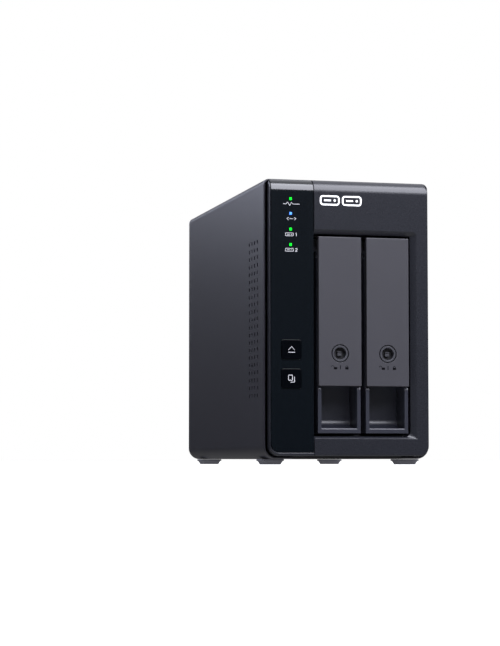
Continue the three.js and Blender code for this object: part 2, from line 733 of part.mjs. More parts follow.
function tray(number, centre) {
  const name = `tray_${number}`;
  const lowerClip = [TRAY_BOTTOM + RAIL + GAP, driveBottom - GAP];
  const upperClip = [driveBottom + DRIVE.tall + GAP, TRAY_TOP - RAIL - GAP];
  const group = new THREE.Group();
  group.add(
    mesh(`${name}_frame`, trayFrame(centre), trayPlastic),
    mesh(`${name}_handle`, trayHandle(centre), handlePlastic),
    mesh(`${name}_hinge_pin`, hingePin(centre), steel),
    mesh(`${name}_lock`, lockCylinder(centre), blackPlastic),
    mesh(`${name}_lower_clip`, driveClip(centre, lowerClip), blackPlastic),
    mesh(`${name}_upper_clip`, driveClip(centre, upperClip), blackPlastic),
    mesh(`drive_${number}_body`, driveBody(centre), aluminium),
    mesh(`drive_${number}_board`, driveBoard(centre), board),
  );
  return group;
}

// ---- rear ----
const rearRounded = (x, z, [wide, tall], corner) =>
  prismY(
    roundedOutline(
      [x - wide / 2, x + wide / 2],
      [z - tall / 2, z + tall / 2],
      [corner, corner, corner, corner],
    ),
    [REAR_FACE - REAR_SHEET - 1, REAR_FACE + 1],
    { segments: 3 },
  );

function rearPanel() {
  const through = [REAR_FACE - REAR_SHEET - 1, REAR_FACE + 1];
  const sheet = prismY(caseOutline(COVER_WALL + GAP), [REAR_FACE - REAR_SHEET, REAR_FACE]);
  const slots = Array.from({ length: REAR_SLOTS.count }, (_, i) =>
    rearRounded(FAN.x, REAR_SLOTS.first + i * REAR_SLOTS.pitch, REAR_SLOTS.size, REAR_SLOTS.corner),
  );
  const port = ({ x, z }, [wide, tall], corner) =>
    rearRounded(x, z, [wide + PORT_CLEARANCE, tall + PORT_CLEARANCE], corner);
  return cutAll(sheet, [
    barY(FAN.x, FAN.z, FAN.bore - 0.6, through, 40),
    ...slots,
    barY(POWER_BUTTON.x, POWER_BUTTON.z, POWER_BUTTON.r + GAP, through, 20),
    port(DIP, [DIP.width, DIP_HEIGHT], 0.5),
    port(USB_PORT, USB_PORT.size, USB_PORT.corner + PORT_CLEARANCE / 2),
    port(POWER_JACK, [POWER_JACK.size, POWER_JACK.size], 1),
    rearRounded(LOCK_SLOT.x, LOCK_SLOT.z, LOCK_SLOT.size, LOCK_SLOT.corner),
    ...COVER_SCREWS.map(([x, z]) => barY(x, z, SCREW.holeR, through, 12)),
  ]);
}

function fanFrame() {
  const half = FAN.size / 2;
  const span = [FAN_REAR - FAN.depth, FAN_REAR];
  const outline = roundedOutline(
    [FAN.x - half, FAN.x + half],
    [FAN.z - half, FAN.z + half],
    [FAN.corner, FAN.corner, FAN.corner, FAN.corner],
  );
  const ring = prismY(outline, span, { segments: 3 }).subtract(
    barY(FAN.x, FAN.z, FAN.bore, [span[0] - 1, span[1] + 1], 40),
  );
  const struts = Array.from({ length: STRUTS.count }, (_, i) => {
    const geometry = new THREE.BoxGeometry(STRUTS.width, STRUTS.thick, FAN.bore - 4);
    geometry.translate(0, 0, FAN.bore / 2 + 3);
    geometry.rotateY((i * 2 * Math.PI) / STRUTS.count);
    geometry.translate(FAN.x, FAN_REAR - STRUTS.thick / 2, FAN.z);
    return solid(geometry);
  });
  const motorPlate = barY(FAN.x, FAN.z, FAN.hub, [FAN_REAR - STRUTS.thick, FAN_REAR]);
  return join([ring, motorPlate, ...struts]);
}

function fanRotor() {
  const front = FAN_REAR - FAN.depth + ROTOR.front;
  const rear = FAN_REAR - ROTOR.rear;
  const hub = barY(FAN.x, FAN.z, FAN.hub, [front, rear]);
  const length = FAN.bore - ROTOR.tipGap - FAN.hub + BLADES.root;
  const blades = Array.from({ length: BLADES.count }, (_, i) => {
    const geometry = new THREE.BoxGeometry(BLADES.thick, BLADES.chord, length);
    geometry.rotateZ(BLADES.twist);
    geometry.translate(0, 0, FAN.hub - BLADES.root + length / 2);
    geometry.rotateY((i * 2 * Math.PI) / BLADES.count);
    geometry.translate(FAN.x, (front + rear) / 2, FAN.z);
    return solid(geometry);
  });
  return join([hub, ...blades]);
}

// A wire grille: rings joined by two crossed bars that end in four fixing eyes.
function fanGuard() {
  const front = REAR_FACE + GAP;
  const rings = GUARD_RINGS.map((r) =>
    barY(FAN.x, FAN.z, r + GUARD_WIRE / 2, [front, front + GUARD_WIRE], 32).subtract(
      barY(FAN.x, FAN.z, r - GUARD_WIRE / 2, [front - 1, front + GUARD_WIRE + 1], 32),
    ),
  );
  const bars = [1, 3].map((eighth) => {
    const geometry = new THREE.BoxGeometry(2 * Math.SQRT2 * FAN_HOLE_X, GUARD_WIRE, GUARD_WIRE);
    geometry.rotateY((eighth * Math.PI) / 4);
    geometry.translate(FAN.x, front + GUARD_WIRE / 2, FAN.z);
    return solid(geometry);
  });
  const eyes = [-FAN_HOLE_X, FAN_HOLE_X].flatMap((dx) =>
    [-FAN_HOLE_X, FAN_HOLE_X].map((dz) =>
      barY(FAN.x + dx, FAN.z + dz, GUARD_EYE.r, [front, front + GUARD_EYE.thick], 12),
    ),
  );
  return join([...rings, ...bars, ...eyes]);
}

function powerButton() {
  const { x, z, r, deep, proud } = POWER_BUTTON;
  return barY(x, z, r, [REAR_FACE - deep, REAR_FACE + proud], 20);
}

function dipBody() {
  const { halfWidth, halfTall, deep } = DIP_SLOT;
  const body = box(
    [DIP.x - DIP.width / 2, DIP.x + DIP.width / 2],
    [REAR_FACE - DIP.deep, REAR_FACE - 0.4],
    [DIP.z - DIP_HEIGHT / 2, DIP.z + DIP_HEIGHT / 2],
  );
  const slots = dipHeights().map((z) =>
    box(
      [DIP.x - halfWidth, DIP.x + halfWidth],
      [REAR_FACE - deep, REAR_FACE + 1],
      [z - halfTall, z + halfTall],
    ),
  );
  return cutAll(body, slots);
}

function dipHeights() {
  const first = DIP.z - ((DIP.count - 1) / 2) * DIP.pitch;
  return Array.from({ length: DIP.count }, (_, i) => first + i * DIP.pitch);
}

const dipLever = (z) =>
  box(
    [DIP.x + DIP_LEVER.left, DIP.x + DIP_LEVER.right],
    [REAR_FACE - DIP_LEVER.deep, REAR_FACE + DIP_LEVER.proud],
    [z - DIP_LEVER.halfTall, z + DIP_LEVER.halfTall],
  );

function usbPort() {
  const { x, z, size, corner, wall, deep, proud } = USB_PORT;
  const [thick, tall] = size;
  const rear = REAR_FACE + proud;
  const ring = (inset) =>
    roundedOutline(
      [x - thick / 2 + inset, x + thick / 2 - inset],
      [z - tall / 2 + inset, z + tall / 2 - inset],
      [corner - inset, corner - inset, corner - inset, corner - inset],
    );
  const shell = prismY(ring(0), [rear - deep, rear], { segments: 3 });
  const mouth = prismY(ring(wall), [rear - USB_MOUTH_DEPTH, rear + 1], { segments: 3 });
  const tongue = box(
    [x - USB_TONGUE.halfThick, x + USB_TONGUE.halfThick],
    [rear - USB_MOUTH_DEPTH - 0.5, rear - USB_TONGUE.set],
    [z - USB_TONGUE.halfTall, z + USB_TONGUE.halfTall],
  );
  return shell.subtract(mouth).add(tongue);
}

function powerJack() {
  const { x, z, size, deep, bore, boreDepth, proud } = POWER_JACK;
  const rear = REAR_FACE + proud;
  const half = size / 2;
  const body = box([x - half, x + half], [rear - deep, rear], [z - half, z + half]);
  const hole = barY(x, z, bore, [rear - boreDepth, rear + 1], 20);
  const pin = barY(x, z, JACK_PIN.r, [rear - boreDepth - 0.5, rear - JACK_PIN.set], 10);
  return body.subtract(hole).add(pin);
}

function coverScrew([x, z]) {
  const head = barY(x, z, SCREW.headR, [COVER_REAR + GAP, COVER_REAR + SCREW_PROUD], 20);
  return head.add(barY(x, z, SCREW.shankR, [REAR_FACE - SCREW.reach, COVER_REAR + 1], 12));
}

// ---- assembly ----
const feet = [
  ["foot_front_left", -FOOT.x, FOOT.front],
  ["foot_front_right", FOOT.x, FOOT.front],
  ["foot_rear_left", -FOOT.x, FOOT.rear],
  ["foot_rear_right", FOOT.x, FOOT.rear],
];
const cageNames = ["cage_left_sheet", "cage_divider", "cage_right_sheet"];

const assembly = new THREE.Group();
assembly.position.y = HANDLE_PROUD - DEPTH / 2;
assembly.add(
  mesh("outer_cover", outerCover(), coverPaint),
  mesh("base_plate", basePlate(), darkSteel),
  mesh("front_bezel", frontBezel(), bezelPlastic),
  mesh("status_panel", statusPanel(), glossPlastic),
  ...LAMPS.map(({ name, z, color }) => mesh(name, lamp(z), material(color, 0.2))),
  ...BUTTONS.map(({ name, z }) => mesh(`${name}_button`, panelButton(z), buttonPlastic)),
  ...BUTTONS.map(({ name, z }) => mesh(`${name}_switch`, buttonSwitch(z), blackPlastic)),
  mesh("front_board", frontBoard(), board),
  ...CAGE_X.map((x, i) => mesh(cageNames[i], cageSheet(x), steel)),
  mesh("upper_guide", upperGuide(), blackPlastic),
  mesh("lower_guide", lowerGuide(), blackPlastic),
  mesh("backplane_board", backplane(), board),
  ...TRAY_CENTRES.map((x, i) => mesh(`sata_connector_${i + 1}`, sataConnector(x), chipPlastic)),
  mesh("main_board", mainBoard(), board),
  mesh("controller_chip", controllerChip(), chipPlastic),
  mesh("heatsink", heatsink(), aluminium),
  mesh("front_ribbon", frontRibbon(), material(0xc9c9c4, 0.6)),
  mesh("fan_cable", fanCable(), blackPlastic),
  mesh("rear_panel", rearPanel(), coverPaint),
  mesh("fan_frame", fanFrame(), blackPlastic),
  mesh("fan_rotor", fanRotor(), blackPlastic),
  mesh("fan_guard", fanGuard(), steel),
  mesh("power_button", powerButton(), buttonPlastic),
  mesh("dip_switch_body", dipBody(), material(0x1d4fa0, 0.5)),
  ...dipHeights().map((z, i) => mesh(`dip_lever_${i + 1}`, dipLever(z), material(0xe8e8e4, 0.5))),
  mesh("usb_port", usbPort(), steel),
  mesh("power_jack", powerJack(), blackPlastic),
  ...COVER_SCREWS.map((place, i) => mesh(`cover_screw_${i + 1}`, coverScrew(place), steel)),
  ...feet.map(([name, x, y]) => mesh(name, foot(x, y), footRubber)),
  ...TRAY_CENTRES.map((centre, i) => tray(i + 1, centre)),
);

const enclosure = new THREE.Group();
enclosure.add(assembly);
export default enclosure;
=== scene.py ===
"""A two-bay desktop drive enclosure: the finished surfaces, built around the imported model.

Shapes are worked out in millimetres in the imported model's frame, and turned into metres when a mesh is
made. Depths are counted back from the front face, whose place (FACE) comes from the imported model.
"""
from math import cos, hypot, pi, radians, sin, sqrt

import bmesh
import bpy
from mathutils import Matrix, Vector


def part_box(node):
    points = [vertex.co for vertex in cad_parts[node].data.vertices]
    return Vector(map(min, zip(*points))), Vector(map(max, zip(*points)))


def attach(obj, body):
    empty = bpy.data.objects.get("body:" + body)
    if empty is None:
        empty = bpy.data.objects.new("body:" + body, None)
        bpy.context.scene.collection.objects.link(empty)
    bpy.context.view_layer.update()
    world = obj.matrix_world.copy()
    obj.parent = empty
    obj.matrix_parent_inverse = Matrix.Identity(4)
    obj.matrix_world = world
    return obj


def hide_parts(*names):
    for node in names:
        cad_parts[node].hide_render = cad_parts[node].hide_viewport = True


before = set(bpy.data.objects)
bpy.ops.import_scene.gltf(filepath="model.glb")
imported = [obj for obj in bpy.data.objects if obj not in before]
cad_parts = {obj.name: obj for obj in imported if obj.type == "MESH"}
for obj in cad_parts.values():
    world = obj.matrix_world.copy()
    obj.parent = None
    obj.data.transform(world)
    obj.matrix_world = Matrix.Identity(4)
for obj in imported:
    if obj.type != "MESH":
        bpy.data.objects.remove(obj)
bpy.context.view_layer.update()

MM = 0.001
scene = bpy.context.scene


def span(node):
    """The two x, two y and two z values of a CAD node's box, in millimetres."""
    low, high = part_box(node)
    return [(low[i] / MM, high[i] / MM) for i in range(3)]


def middle(node):
    """The x and z of the middle of a CAD node's box, in millimetres."""
    x, _, z = span(node)
    return sum(x) / 2, sum(z) / 2


def about(value, reach):
    """The two ends of a stretch with a value at its middle."""
    return value - reach, value + reach


def grown(pair, by):
    """A stretch that is longer by the same amount at both ends."""
    return pair[0] - by, pair[1] + by


# ---- driving dimensions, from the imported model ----
COVER_X, COVER_Y, COVER_Z = span("outer_cover")
BEZEL_X, BEZEL_Y, BEZEL_Z = span("front_bezel")
PANEL_X, _, PANEL_Z = span("status_panel")
FACE = BEZEL_Y[0]

# ---- cover ----
COVER_WALL = 2
COVER_LIP = 34  # the cover turns in under the case as far as this
LIP_WALL = 0.9
LIP_ROLL = {"long": 1.8, "deep": 0.6}
LIP_ENDS = 5.5  # behind the cover's front edge
WALL_STARTS = 6
REAR_ROUND = ((0.4, 0), (0.12, 0.12), (0, 0.4))  # how far before the rear edge, and how far inset
CORNER_LOW = 7.5
CORNER_HIGH = 3.5
VENT = {"first_y": 21.4, "pitch_y": 6.5, "columns": 4, "first_z": 41, "pitch_z": 4.57, "rows": 21}
VENT_SIZE = (2.0, 2.3)
VENT_CORNER = 0.5

# ---- front ----
BEZEL_TOP = COVER_Z[1] - 0.05
BEZEL_CURVE = 8  # radius of the roll at the top
BEZEL_SIDE = 0.45  # the front is narrower than its CAD node by this at each side
BEZEL_BODY = 6.1
BEZEL_WALL = 2.6
BEZEL_LOW = 1.75  # its low corners are tighter than the cover's by this
BEZEL_HIGH = {"front": 0.7, "growth": 0.8, "most": 2.6}  # its high corners widen with the depth
NECK = {"inset": 1.7, "start": BEZEL_BODY - 0.6, "end": 13}
HOLLOW_INSET = 3.3
HOLLOW_DEPTHS = (BEZEL_WALL, 3.4, 4.4, 5.6, BEZEL_CURVE, 20)
COLLAR_WALL = 1.2
RIM = 0.8  # radius of the rounded edge all round the front
PANEL_SET = 0.3  # the status panel lies this deep in the front
PANEL_WALL = 1.4
PANEL_CORNER = 5
POCKET_DEPTH = 1.65
POCKET_LEAD = ((-0.3, 0.9), (0, 0.6), (0.3, 0.4), (0.5, 0.2), (0.6, 0))  # depth and spread of each step
SEAM = 0.45
SHARP = 0.2  # corner radius where two straight edges meet
LENS_INSET = (0.45, 0.25)
# each lamp's look and slot
LAMPS = {
    "status_lens": ("green_lamp", "green_lens"),
    "link_lens": ("blue_lamp", "blue_lens"),
    "disk_1_lens": ("green_lamp", "green_lens"),
    "disk_2_lens": ("green_lamp", "green_lens"),
}
BAY = {"left": -22, "right": 37.9, "bottom": 16.5, "top": 135.9}
BAY_CORNER = 3
FLARE = {"right": 42.1, "bottom": 15.0, "top": 138.5, "depth": 2}
FLARE_LOW = -2.4  # how much tighter the flare's low corner is at the front
FLARE_HIGH = (0.3, 3.7)  # the flare's high corner: its radius at the back, and what the front adds
PAST = 10  # how far cutters reach past the case
CUT_Y = (FACE - 5, FACE + 20)
TRAYS = (1, 2)
CORNERS = ((1, 1), (1, -1), (-1, 1), (-1, -1))


# ---- mesh building ----
def add_object(name, data):
    obj = bpy.data.objects.new(name, data)
    scene.collection.objects.link(obj)
    return obj


def add_mesh(name, points, faces):
    """A mesh object from points in millimetres, with its faces turned outwards."""
    data = bpy.data.meshes.new(name)
    data.from_pydata([Vector(p) * MM for p in points], [], faces)
    work = bmesh.new()
    work.from_mesh(data)
    bmesh.ops.recalc_face_normals(work, faces=work.faces)
    work.to_mesh(data)
    work.free()
    return add_object(name, data)


def loft(name, rings, wrap=False):
    """A skin over rings of the same number of points; wrap joins the last ring to the first."""
    count = len(rings[0])
    points = [p for ring in rings for p in ring]
    faces = []
    last = len(rings) if wrap else len(rings) - 1
    for i in range(last):
        a = i * count
        b = ((i + 1) % len(rings)) * count
        for j in range(count):
            k = (j + 1) % count
            faces.append((a + j, a + k, b + k, b + j))
    if not wrap:
        faces.append(tuple(range(count)))
        faces.append(tuple(range((len(rings) - 1) * count, len(rings) * count)))
    return add_mesh(name, points, faces)


def arc(cx, cz, radius, start, end, steps):
    """Points on an arc between two angles in degrees, both ends included."""
    angles = [radians(start + (end - start) * i / steps) for i in range(steps + 1)]
    return [(cx + radius * cos(a), cz + radius * sin(a)) for a in angles]


def circle(cx, cz, radius, steps):
    return arc(cx, cz, radius, 0, 360, steps)[:-1]


def rounded(x, z, radii, steps=6):
    """A rectangle with one corner radius, or four: bottom left, bottom right, top right, top left."""
    (x0, x1), (z0, z1) = x, z
    low_left, low_right, high_right, high_left = radii if hasattr(radii, "__len__") else [radii] * 4
    return (
        arc(x0 + low_left, z0 + low_left, low_left, 180, 270, steps)
        + arc(x1 - low_right, z0 + low_right, low_right, 270, 360, steps)
        + arc(x1 - high_right, z1 - high_right, high_right, 0, 90, steps)
        + arc(x0 + high_left, z1 - high_left, high_left, 90, 180, steps)
    )


def prism_y(name, outline, y):
    return loft(name, [[(a, d, b) for a, b in outline] for d in y])


def prism_x(name, outline, x):
    return loft(name, [[(d, a, b) for a, b in outline] for d in x])


def block(name, x, y, z, corner=0.0):
    """A box, with rounded edges along y where a corner radius is given."""
    if corner:
        return prism_y(name, rounded(x, z, corner), y)
    outline = [(x[0], z[0]), (x[1], z[0]), (x[1], z[1]), (x[0], z[1])]
    return prism_y(name, outline, y)


def turned(name, profile, x, z, steps=24):
    """A profile of (radius, y) points turned about an axis along y; it starts and ends on the axis."""
    points = [(x, profile[0][1], z)]
    for radius, y in profile[1:-1]:
        for i in range(steps):
            angle = 2 * pi * i / steps
            points.append((x + radius * cos(angle), y, z + radius * sin(angle)))
    points.append((x, profile[-1][1], z))
    rows = len(profile) - 2
    end = len(points) - 1
    faces = []
    for i in range(steps):
        k = (i + 1) % steps
        faces.append((0, 1 + k, 1 + i))
        for row in range(rows - 1):
            a = 1 + row * steps
            faces.append((a + i, a + k, a + steps + k, a + steps + i))
        a = 1 + (rows - 1) * steps
        faces.append((a + i, a + k, end))
    return add_mesh(name, points, faces)


def rod(name, radius, y, x, z, steps=24):
    """A round bar along y with flat ends."""
    return turned(name, [(0, y[0]), (radius, y[0]), (radius, y[1]), (0, y[1])], x, z, steps)


def pipe(name, points, radius, closed=False):
    """A round wire along points in millimetres."""
    curve = bpy.data.curves.new(name, "CURVE")
    curve.dimensions = "3D"
    curve.bevel_depth = radius * MM
    curve.bevel_resolution = 4
    curve.use_fill_caps = not closed
    line = curve.splines.new("POLY")
    line.points.add(len(points) - 1)
    for point, at in zip(line.points, points):
        point.co = (*(Vector(at) * MM), 1)
    line.use_cyclic_u = closed
    made = add_object(name, curve)
    data = evaluated_mesh(made)
    bpy.data.objects.remove(made)
    data.name = name
    return add_object(name, data)


def evaluated_mesh(obj):
    """A new mesh of an object as it stands with its modifiers."""
    bpy.context.view_layer.update()
    return bpy.data.meshes.new_from_object(obj.evaluated_get(bpy.context.evaluated_depsgraph_get()))


def settle(obj):
    """Applies an object's modifiers to its mesh."""
    data = evaluated_mesh(obj)
    obj.modifiers.clear()
    obj.data = data


def place(obj, degrees, axis, at):
    """Turns a mesh about an axis through the origin and moves it to a place in millimetres."""
    obj.data.transform(Matrix.Rotation(radians(degrees), 4, axis))
    obj.data.transform(Matrix.Translation(Vector(at) * MM))
    return obj


def merge(name, parts):
    """One object holding several meshes as they are."""
    work = bmesh.new()
    for part in parts:
        work.from_mesh(part.data)
    data = bpy.data.meshes.new(name)
    work.to_mesh(data)
    work.free()
    for part in parts:
        bpy.data.objects.remove(part)
    return add_object(name, data)


def combine(obj, others, operation):
    for other in others:
        step = obj.modifiers.new("combine", "BOOLEAN")
        step.operation = operation
        step.solver = "EXACT"
        step.object = other
        settle(obj)
        bpy.data.objects.remove(other)


def cut(obj, *cutters):
    combine(obj, cutters, "DIFFERENCE")


def weld(obj, *others):
    combine(obj, others, "UNION")


def soften(obj, width, segments=2, angle=35):
    """Cleans a mesh, rounds its sharp edges and gives it smooth shading with flat faces kept flat."""
    work = bmesh.new()
    work.from_mesh(obj.data)
    bmesh.ops.remove_doubles(work, verts=work.verts, dist=0.002 * MM)
    flat = radians(0.3)
    bmesh.ops.dissolve_limit(work, angle_limit=flat, verts=work.verts, edges=work.edges)
    work.to_mesh(obj.data)
    work.free()
    if width:
        add_bevel(obj, width, segments, angle)
        settle(obj)
    obj.data.shade_smooth()
    obj.data.set_sharp_from_angle(angle=radians(42))
    normals = obj.modifiers.new("normals", "WEIGHTED_NORMAL")
    normals.keep_sharp = True


def add_bevel(obj, width, segments, angle):
    bevel = obj.modifiers.new("bevel", "BEVEL")
    bevel.width = width * MM
    bevel.segments = segments
    bevel.limit_method = "ANGLE"
    bevel.angle_limit = radians(angle)


# ---- materials ----
def set_values(node, values):
    """Sets constants on a node's sockets."""
    for socket, value in values.items():
        node.inputs[socket].default_value = value


def add_node(nodes, kind, values):
    node = nodes.new(f"ShaderNode{kind}")
    set_values(node, values)
    return node


def lead(links, source, node, socket, result):
    """Leads a source into a node, and gives one of the results."""
    links.new(source, node.inputs[socket])
    return node.outputs[result]


def new_material(name, values):
    """A new material with its nodes, its links, its shader and the place on the object."""
    look = bpy.data.materials.new(name)
    look.use_nodes = True
    nodes = look.node_tree.nodes
    shader = nodes["Principled BSDF"]
    set_values(shader, values)
    at = nodes.new("ShaderNodeTexCoord").outputs["Object"]
    return look, nodes, look.node_tree.links, shader, at


def add_noise(nodes, links, at, scale, detail=2):
    return lead(links, at, add_node(nodes, "TexNoise", {"Scale": scale, "Detail": detail}), "Vector", "Fac")


def add_tone(nodes, links, share, first, second):
    """A colour that goes from the first to the second with a noise."""
    tone = nodes.new("ShaderNodeMix")
    tone.data_type = "RGBA"
    set_values(tone, {"A": (*first, 1), "B": (*second, 1)})
    return lead(links, share, tone, "Factor", "Result")


def add_relief(nodes, links, shader, noise, rough, strength, height):
    """A noise sets the roughness between two values, and raises the surface a little."""
    gloss = add_node(nodes, "MapRange", {"To Min": rough[0], "To Max": rough[1]})
    links.new(lead(links, noise, gloss, "Value", "Result"), shader.inputs["Roughness"])
    bump = add_node(nodes, "Bump", {"Strength": strength, "Distance": height * MM})
    links.new(lead(links, noise, bump, "Height", "Normal"), shader.inputs["Normal"])


def surface(
    name, color, roughness, grain=(2500, 0.15), metallic=0.0, tint=0.08, polish=0.06, specular=0.5
):
    """A moulded, painted or plated surface: fine grain in the bump and the gloss, slow drift in tone."""
    values = {"Metallic": metallic, "Specular IOR Level": specular}
    look, nodes, links, shader, at = new_material(name, values)
    dark = [c * (1 - tint) for c in color]
    light = [min(1, c * (1 + tint)) for c in color]
    drift = add_noise(nodes, links, at, 45, 4)
    links.new(add_tone(nodes, links, drift, dark, light), shader.inputs["Base Color"])
    scale, strength = grain
    speck = add_noise(nodes, links, at, scale, 3)
    rough = (max(0.02, roughness - polish), min(1, roughness + polish))
    add_relief(nodes, links, shader, speck, rough, strength, 0.05)
    return look


def lamp_glass(name, color):
    """A lit lens, with a slight drift in its colour."""
    values = {"Roughness": 0.25, "Emission Strength": 1.0}
    look, nodes, links, shader, at = new_material(name, values)
    drift = add_noise(nodes, links, at, 900)
    tone = add_tone(nodes, links, drift, [c * 0.85 for c in color], color)
    links.new(tone, shader.inputs["Base Color"])
    links.new(tone, shader.inputs["Emission Color"])
    return look


def board_material(name):
    """Green solder mask with copper tracks showing through as slightly lighter lines."""
    look, nodes, links, shader, at = new_material(name, {"Roughness": 0.35})
    swap = add_node(nodes, "Mapping", {"Rotation": (pi / 2, 0, pi / 4)})
    values = {
        "Scale": 260,
        "Mortar Size": 0.04,
        "Color1": (0.008, 0.07, 0.025, 1),
        "Color2": (0.01, 0.085, 0.03, 1),
        "Mortar": (0.03, 0.17, 0.06, 1),
    }
    tracks = add_node(nodes, "TexBrick", values)
    turned_at = lead(links, at, swap, "Vector", "Vector")
    links.new(lead(links, turned_at, tracks, "Vector", "Color"), shader.inputs["Base Color"])
    return look


def brushed(name, color, roughness, stretch):
    """Metal drawn along one direction: long fine scratches in the gloss and the bump."""
    values = {"Metallic": 0.6, "Base Color": (*color, 1)}
    look, nodes, links, shader, at = new_material(name, values)
    squeeze = add_node(nodes, "Mapping", {"Scale": stretch})
    scratch = add_noise(nodes, links, lead(links, at, squeeze, "Vector", "Vector"), 90, 6)
    add_relief(nodes, links, shader, scratch, (roughness - 0.1, roughness + 0.12), 0.2, 0.02)
    return look


LOOKS = {
    "cover": surface("cover_paint", (0.0125, 0.0125, 0.018), 0.34, (1900, 0.35)),
    "bezel": surface("bezel_plastic", (0.0102, 0.011, 0.015), 0.28, (2600, 0.1), polish=0.03),
    "gloss": surface(
        "gloss_panel", (0.0015, 0.0027, 0.0042), 0.15, (400, 0.02), polish=0.02, specular=0.65
    ),
    "tray": surface("tray_plastic", (0.0165, 0.018, 0.026), 0.33, (2600, 0.2)),
    "handle": surface("handle_plastic", (0.0207, 0.0204, 0.0265), 0.55, (1700, 0.5)),
    "button": surface("button_black", (0.0005, 0.0008, 0.0015), 0.16, (900, 0.04), specular=0.25),
    "black": surface("black_plastic", (0.008, 0.008, 0.010), 0.5, (2200, 0.3)),
    "lock": surface("lock_plastic", (0.022, 0.0225, 0.029), 0.5, (2000, 0.4)),
    "rubber": surface("foot_rubber", (0.078, 0.078, 0.098), 0.6, (1500, 0.5)),
    "print": surface("printed_marks", (0.4, 0.4, 0.42), 0.5, (3000, 0.1)),
    "white_print": surface("white_mark", (0.9, 0.9, 0.9), 0.45, (3000, 0.1)),
    "dark_print": surface("dark_marks", (0.001, 0.001, 0.002), 0.5, (3000, 0.1), specular=0.05),
    "board": board_material("circuit_board"),
    "chip": surface("chip_epoxy", (0.015, 0.015, 0.017), 0.45, (1500, 0.25)),
    "plated": surface("plated_steel", (0.6, 0.6, 0.61), 0.22, (900, 0.08), metallic=1),
    # painted shade: the cage sheets are made near-black so that the gaps beside and between the trays read as
    # deep shade
    "cage": surface("cage_steel_painted_shade", (0.01, 0.01, 0.012), 0.5, (1800, 0.3)),
    "cast": surface("cast_aluminium", (0.5, 0.51, 0.53), 0.42, (1300, 0.5), metallic=1),
    "lid": brushed("drive_lid", (0.62, 0.63, 0.65), 0.25, (1, 1, 40)),
    "ribbon": surface("ribbon_grey", (0.55, 0.55, 0.52), 0.45),
    "label": surface("blank_label", (0.75, 0.75, 0.74), 0.5),
    "dip": surface("dip_blue", (0.02, 0.09, 0.4), 0.4),
    "dip_lever": surface("dip_white", (0.8, 0.8, 0.77), 0.4),
    "port": surface("port_tongue", (0.02, 0.02, 0.022), 0.4),
    "gold": surface("gold_contacts", (0.9, 0.6, 0.2), 0.25, metallic=1),
    "green_lamp": lamp_glass("green_lamp", (0.0, 0.85, 0.02)),
    "blue_lamp": lamp_glass("blue_lamp", (0.08, 0.28, 1.0)),
}


def wear(obj, look):
    obj.data.materials.clear()
    obj.data.materials.append(LOOKS[look])


def finish_piece(obj, look, body, slot, *replaced):
    """Gives a piece its material and body, and hides the CAD nodes that it stands for. Its slot is not used.
    """
    wear(obj, look)
    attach(obj, body)
    if replaced:
        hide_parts(*replaced)


# ---- camera and lights, in metres, and the floor, in millimetres ----
CAMERA_AT = (-0.3447, -1.2426, 0.0024)
CAMERA_TURN = 14.05
CAMERA_TILT = 3.91
CAMERA_LENS = 112.1
CAMERA_SENSOR = 36
WHITE = (1, 1, 1, 1)
COOL = (0.89, 0.9, 1.0)
BLUE = (0.78, 0.82, 1.0)
# each light's place, its target, its two sides, its power and its colour
LIGHTS = {
    "overhead_box": ((0.33, -0.84, 1.12), (0, 0, 0.1), (1.5, 1.25), 51, COOL),
    "roll_box": ((0.28, 0.22, 1.22), (0, 0, 0.1), (1.6, 1.6), 6, COOL),
    "side_box": ((-1.0, 1.5, 1.0), (-0.05, 0.1, 0.1), (1.2, 1.25), 15, BLUE),
    "left_box": ((-1.15, -0.2, 1.35), (-0.05, 0.05, 0.12), (0.8, 0.7), 9, BLUE),
    "right_box": ((1.3, 0.1, 0.75), (0.05, 0, 0.1), (1.0, 0.8), 9, COOL),
}
SKY_STRENGTH = 0.45
SKY_HORIZON = 0.034
FLOOR_REACH = 6000
FLOOR_DROP = 0.02
FLOOR_GREY = 0.3
FLOOR_GLOW = 0.95


def build_camera():
    data = bpy.data.cameras.new("camera")
    data.lens = CAMERA_LENS
    data.sensor_width = CAMERA_SENSOR
    data.clip_start = 0.01
    camera = add_object("camera", data)
    camera.location = CAMERA_AT
    camera.rotation_euler = (radians(90 + CAMERA_TILT), 0, radians(-CAMERA_TURN))
    scene.camera = camera


def area_light(name, at, target, size, power, color):
    data = bpy.data.lights.new(name, "AREA")
    data.shape = "RECTANGLE"
    data.size, data.size_y = size
    data.energy = power
    data.color = color
    light = add_object(name, data)
    light.location = at
    aim = Vector(target) - Vector(at)
    light.rotation_euler = aim.to_track_quat("-Z", "Y").to_euler()


def build_world():
    """The camera sees plain white; other rays see a dim horizon that brightens upwards and downwards."""
    world = bpy.data.worlds.new("studio")
    scene.world = world
    world.use_nodes = True
    nodes, links = world.node_tree.nodes, world.node_tree.links
    seen = nodes["Background"]
    set_values(seen, {"Color": WHITE})
    glow = add_node(nodes, "Background", {"Strength": SKY_STRENGTH})
    direction = nodes.new("ShaderNodeTexCoord").outputs["Generated"]
    height = lead(links, direction, nodes.new("ShaderNodeSeparateXYZ"), "Vector", "Z")
    size = nodes.new("ShaderNodeMath")
    size.operation = "ABSOLUTE"
    steepness = lead(links, height, size, 0, "Value")
    sky = add_node(nodes, "MapRange", {"To Min": SKY_HORIZON})
    links.new(lead(links, steepness, sky, "Value", "Result"), glow.inputs["Color"])
    choose = nodes.new("ShaderNodeMixShader")
    links.new(nodes.new("ShaderNodeLightPath").outputs["Is Camera Ray"], choose.inputs["Fac"])
    links.new(glow.outputs["Background"], choose.inputs[1])
    links.new(seen.outputs["Background"], choose.inputs[2])
    links.new(choose.outputs["Shader"], nodes["World Output"].inputs["Surface"])


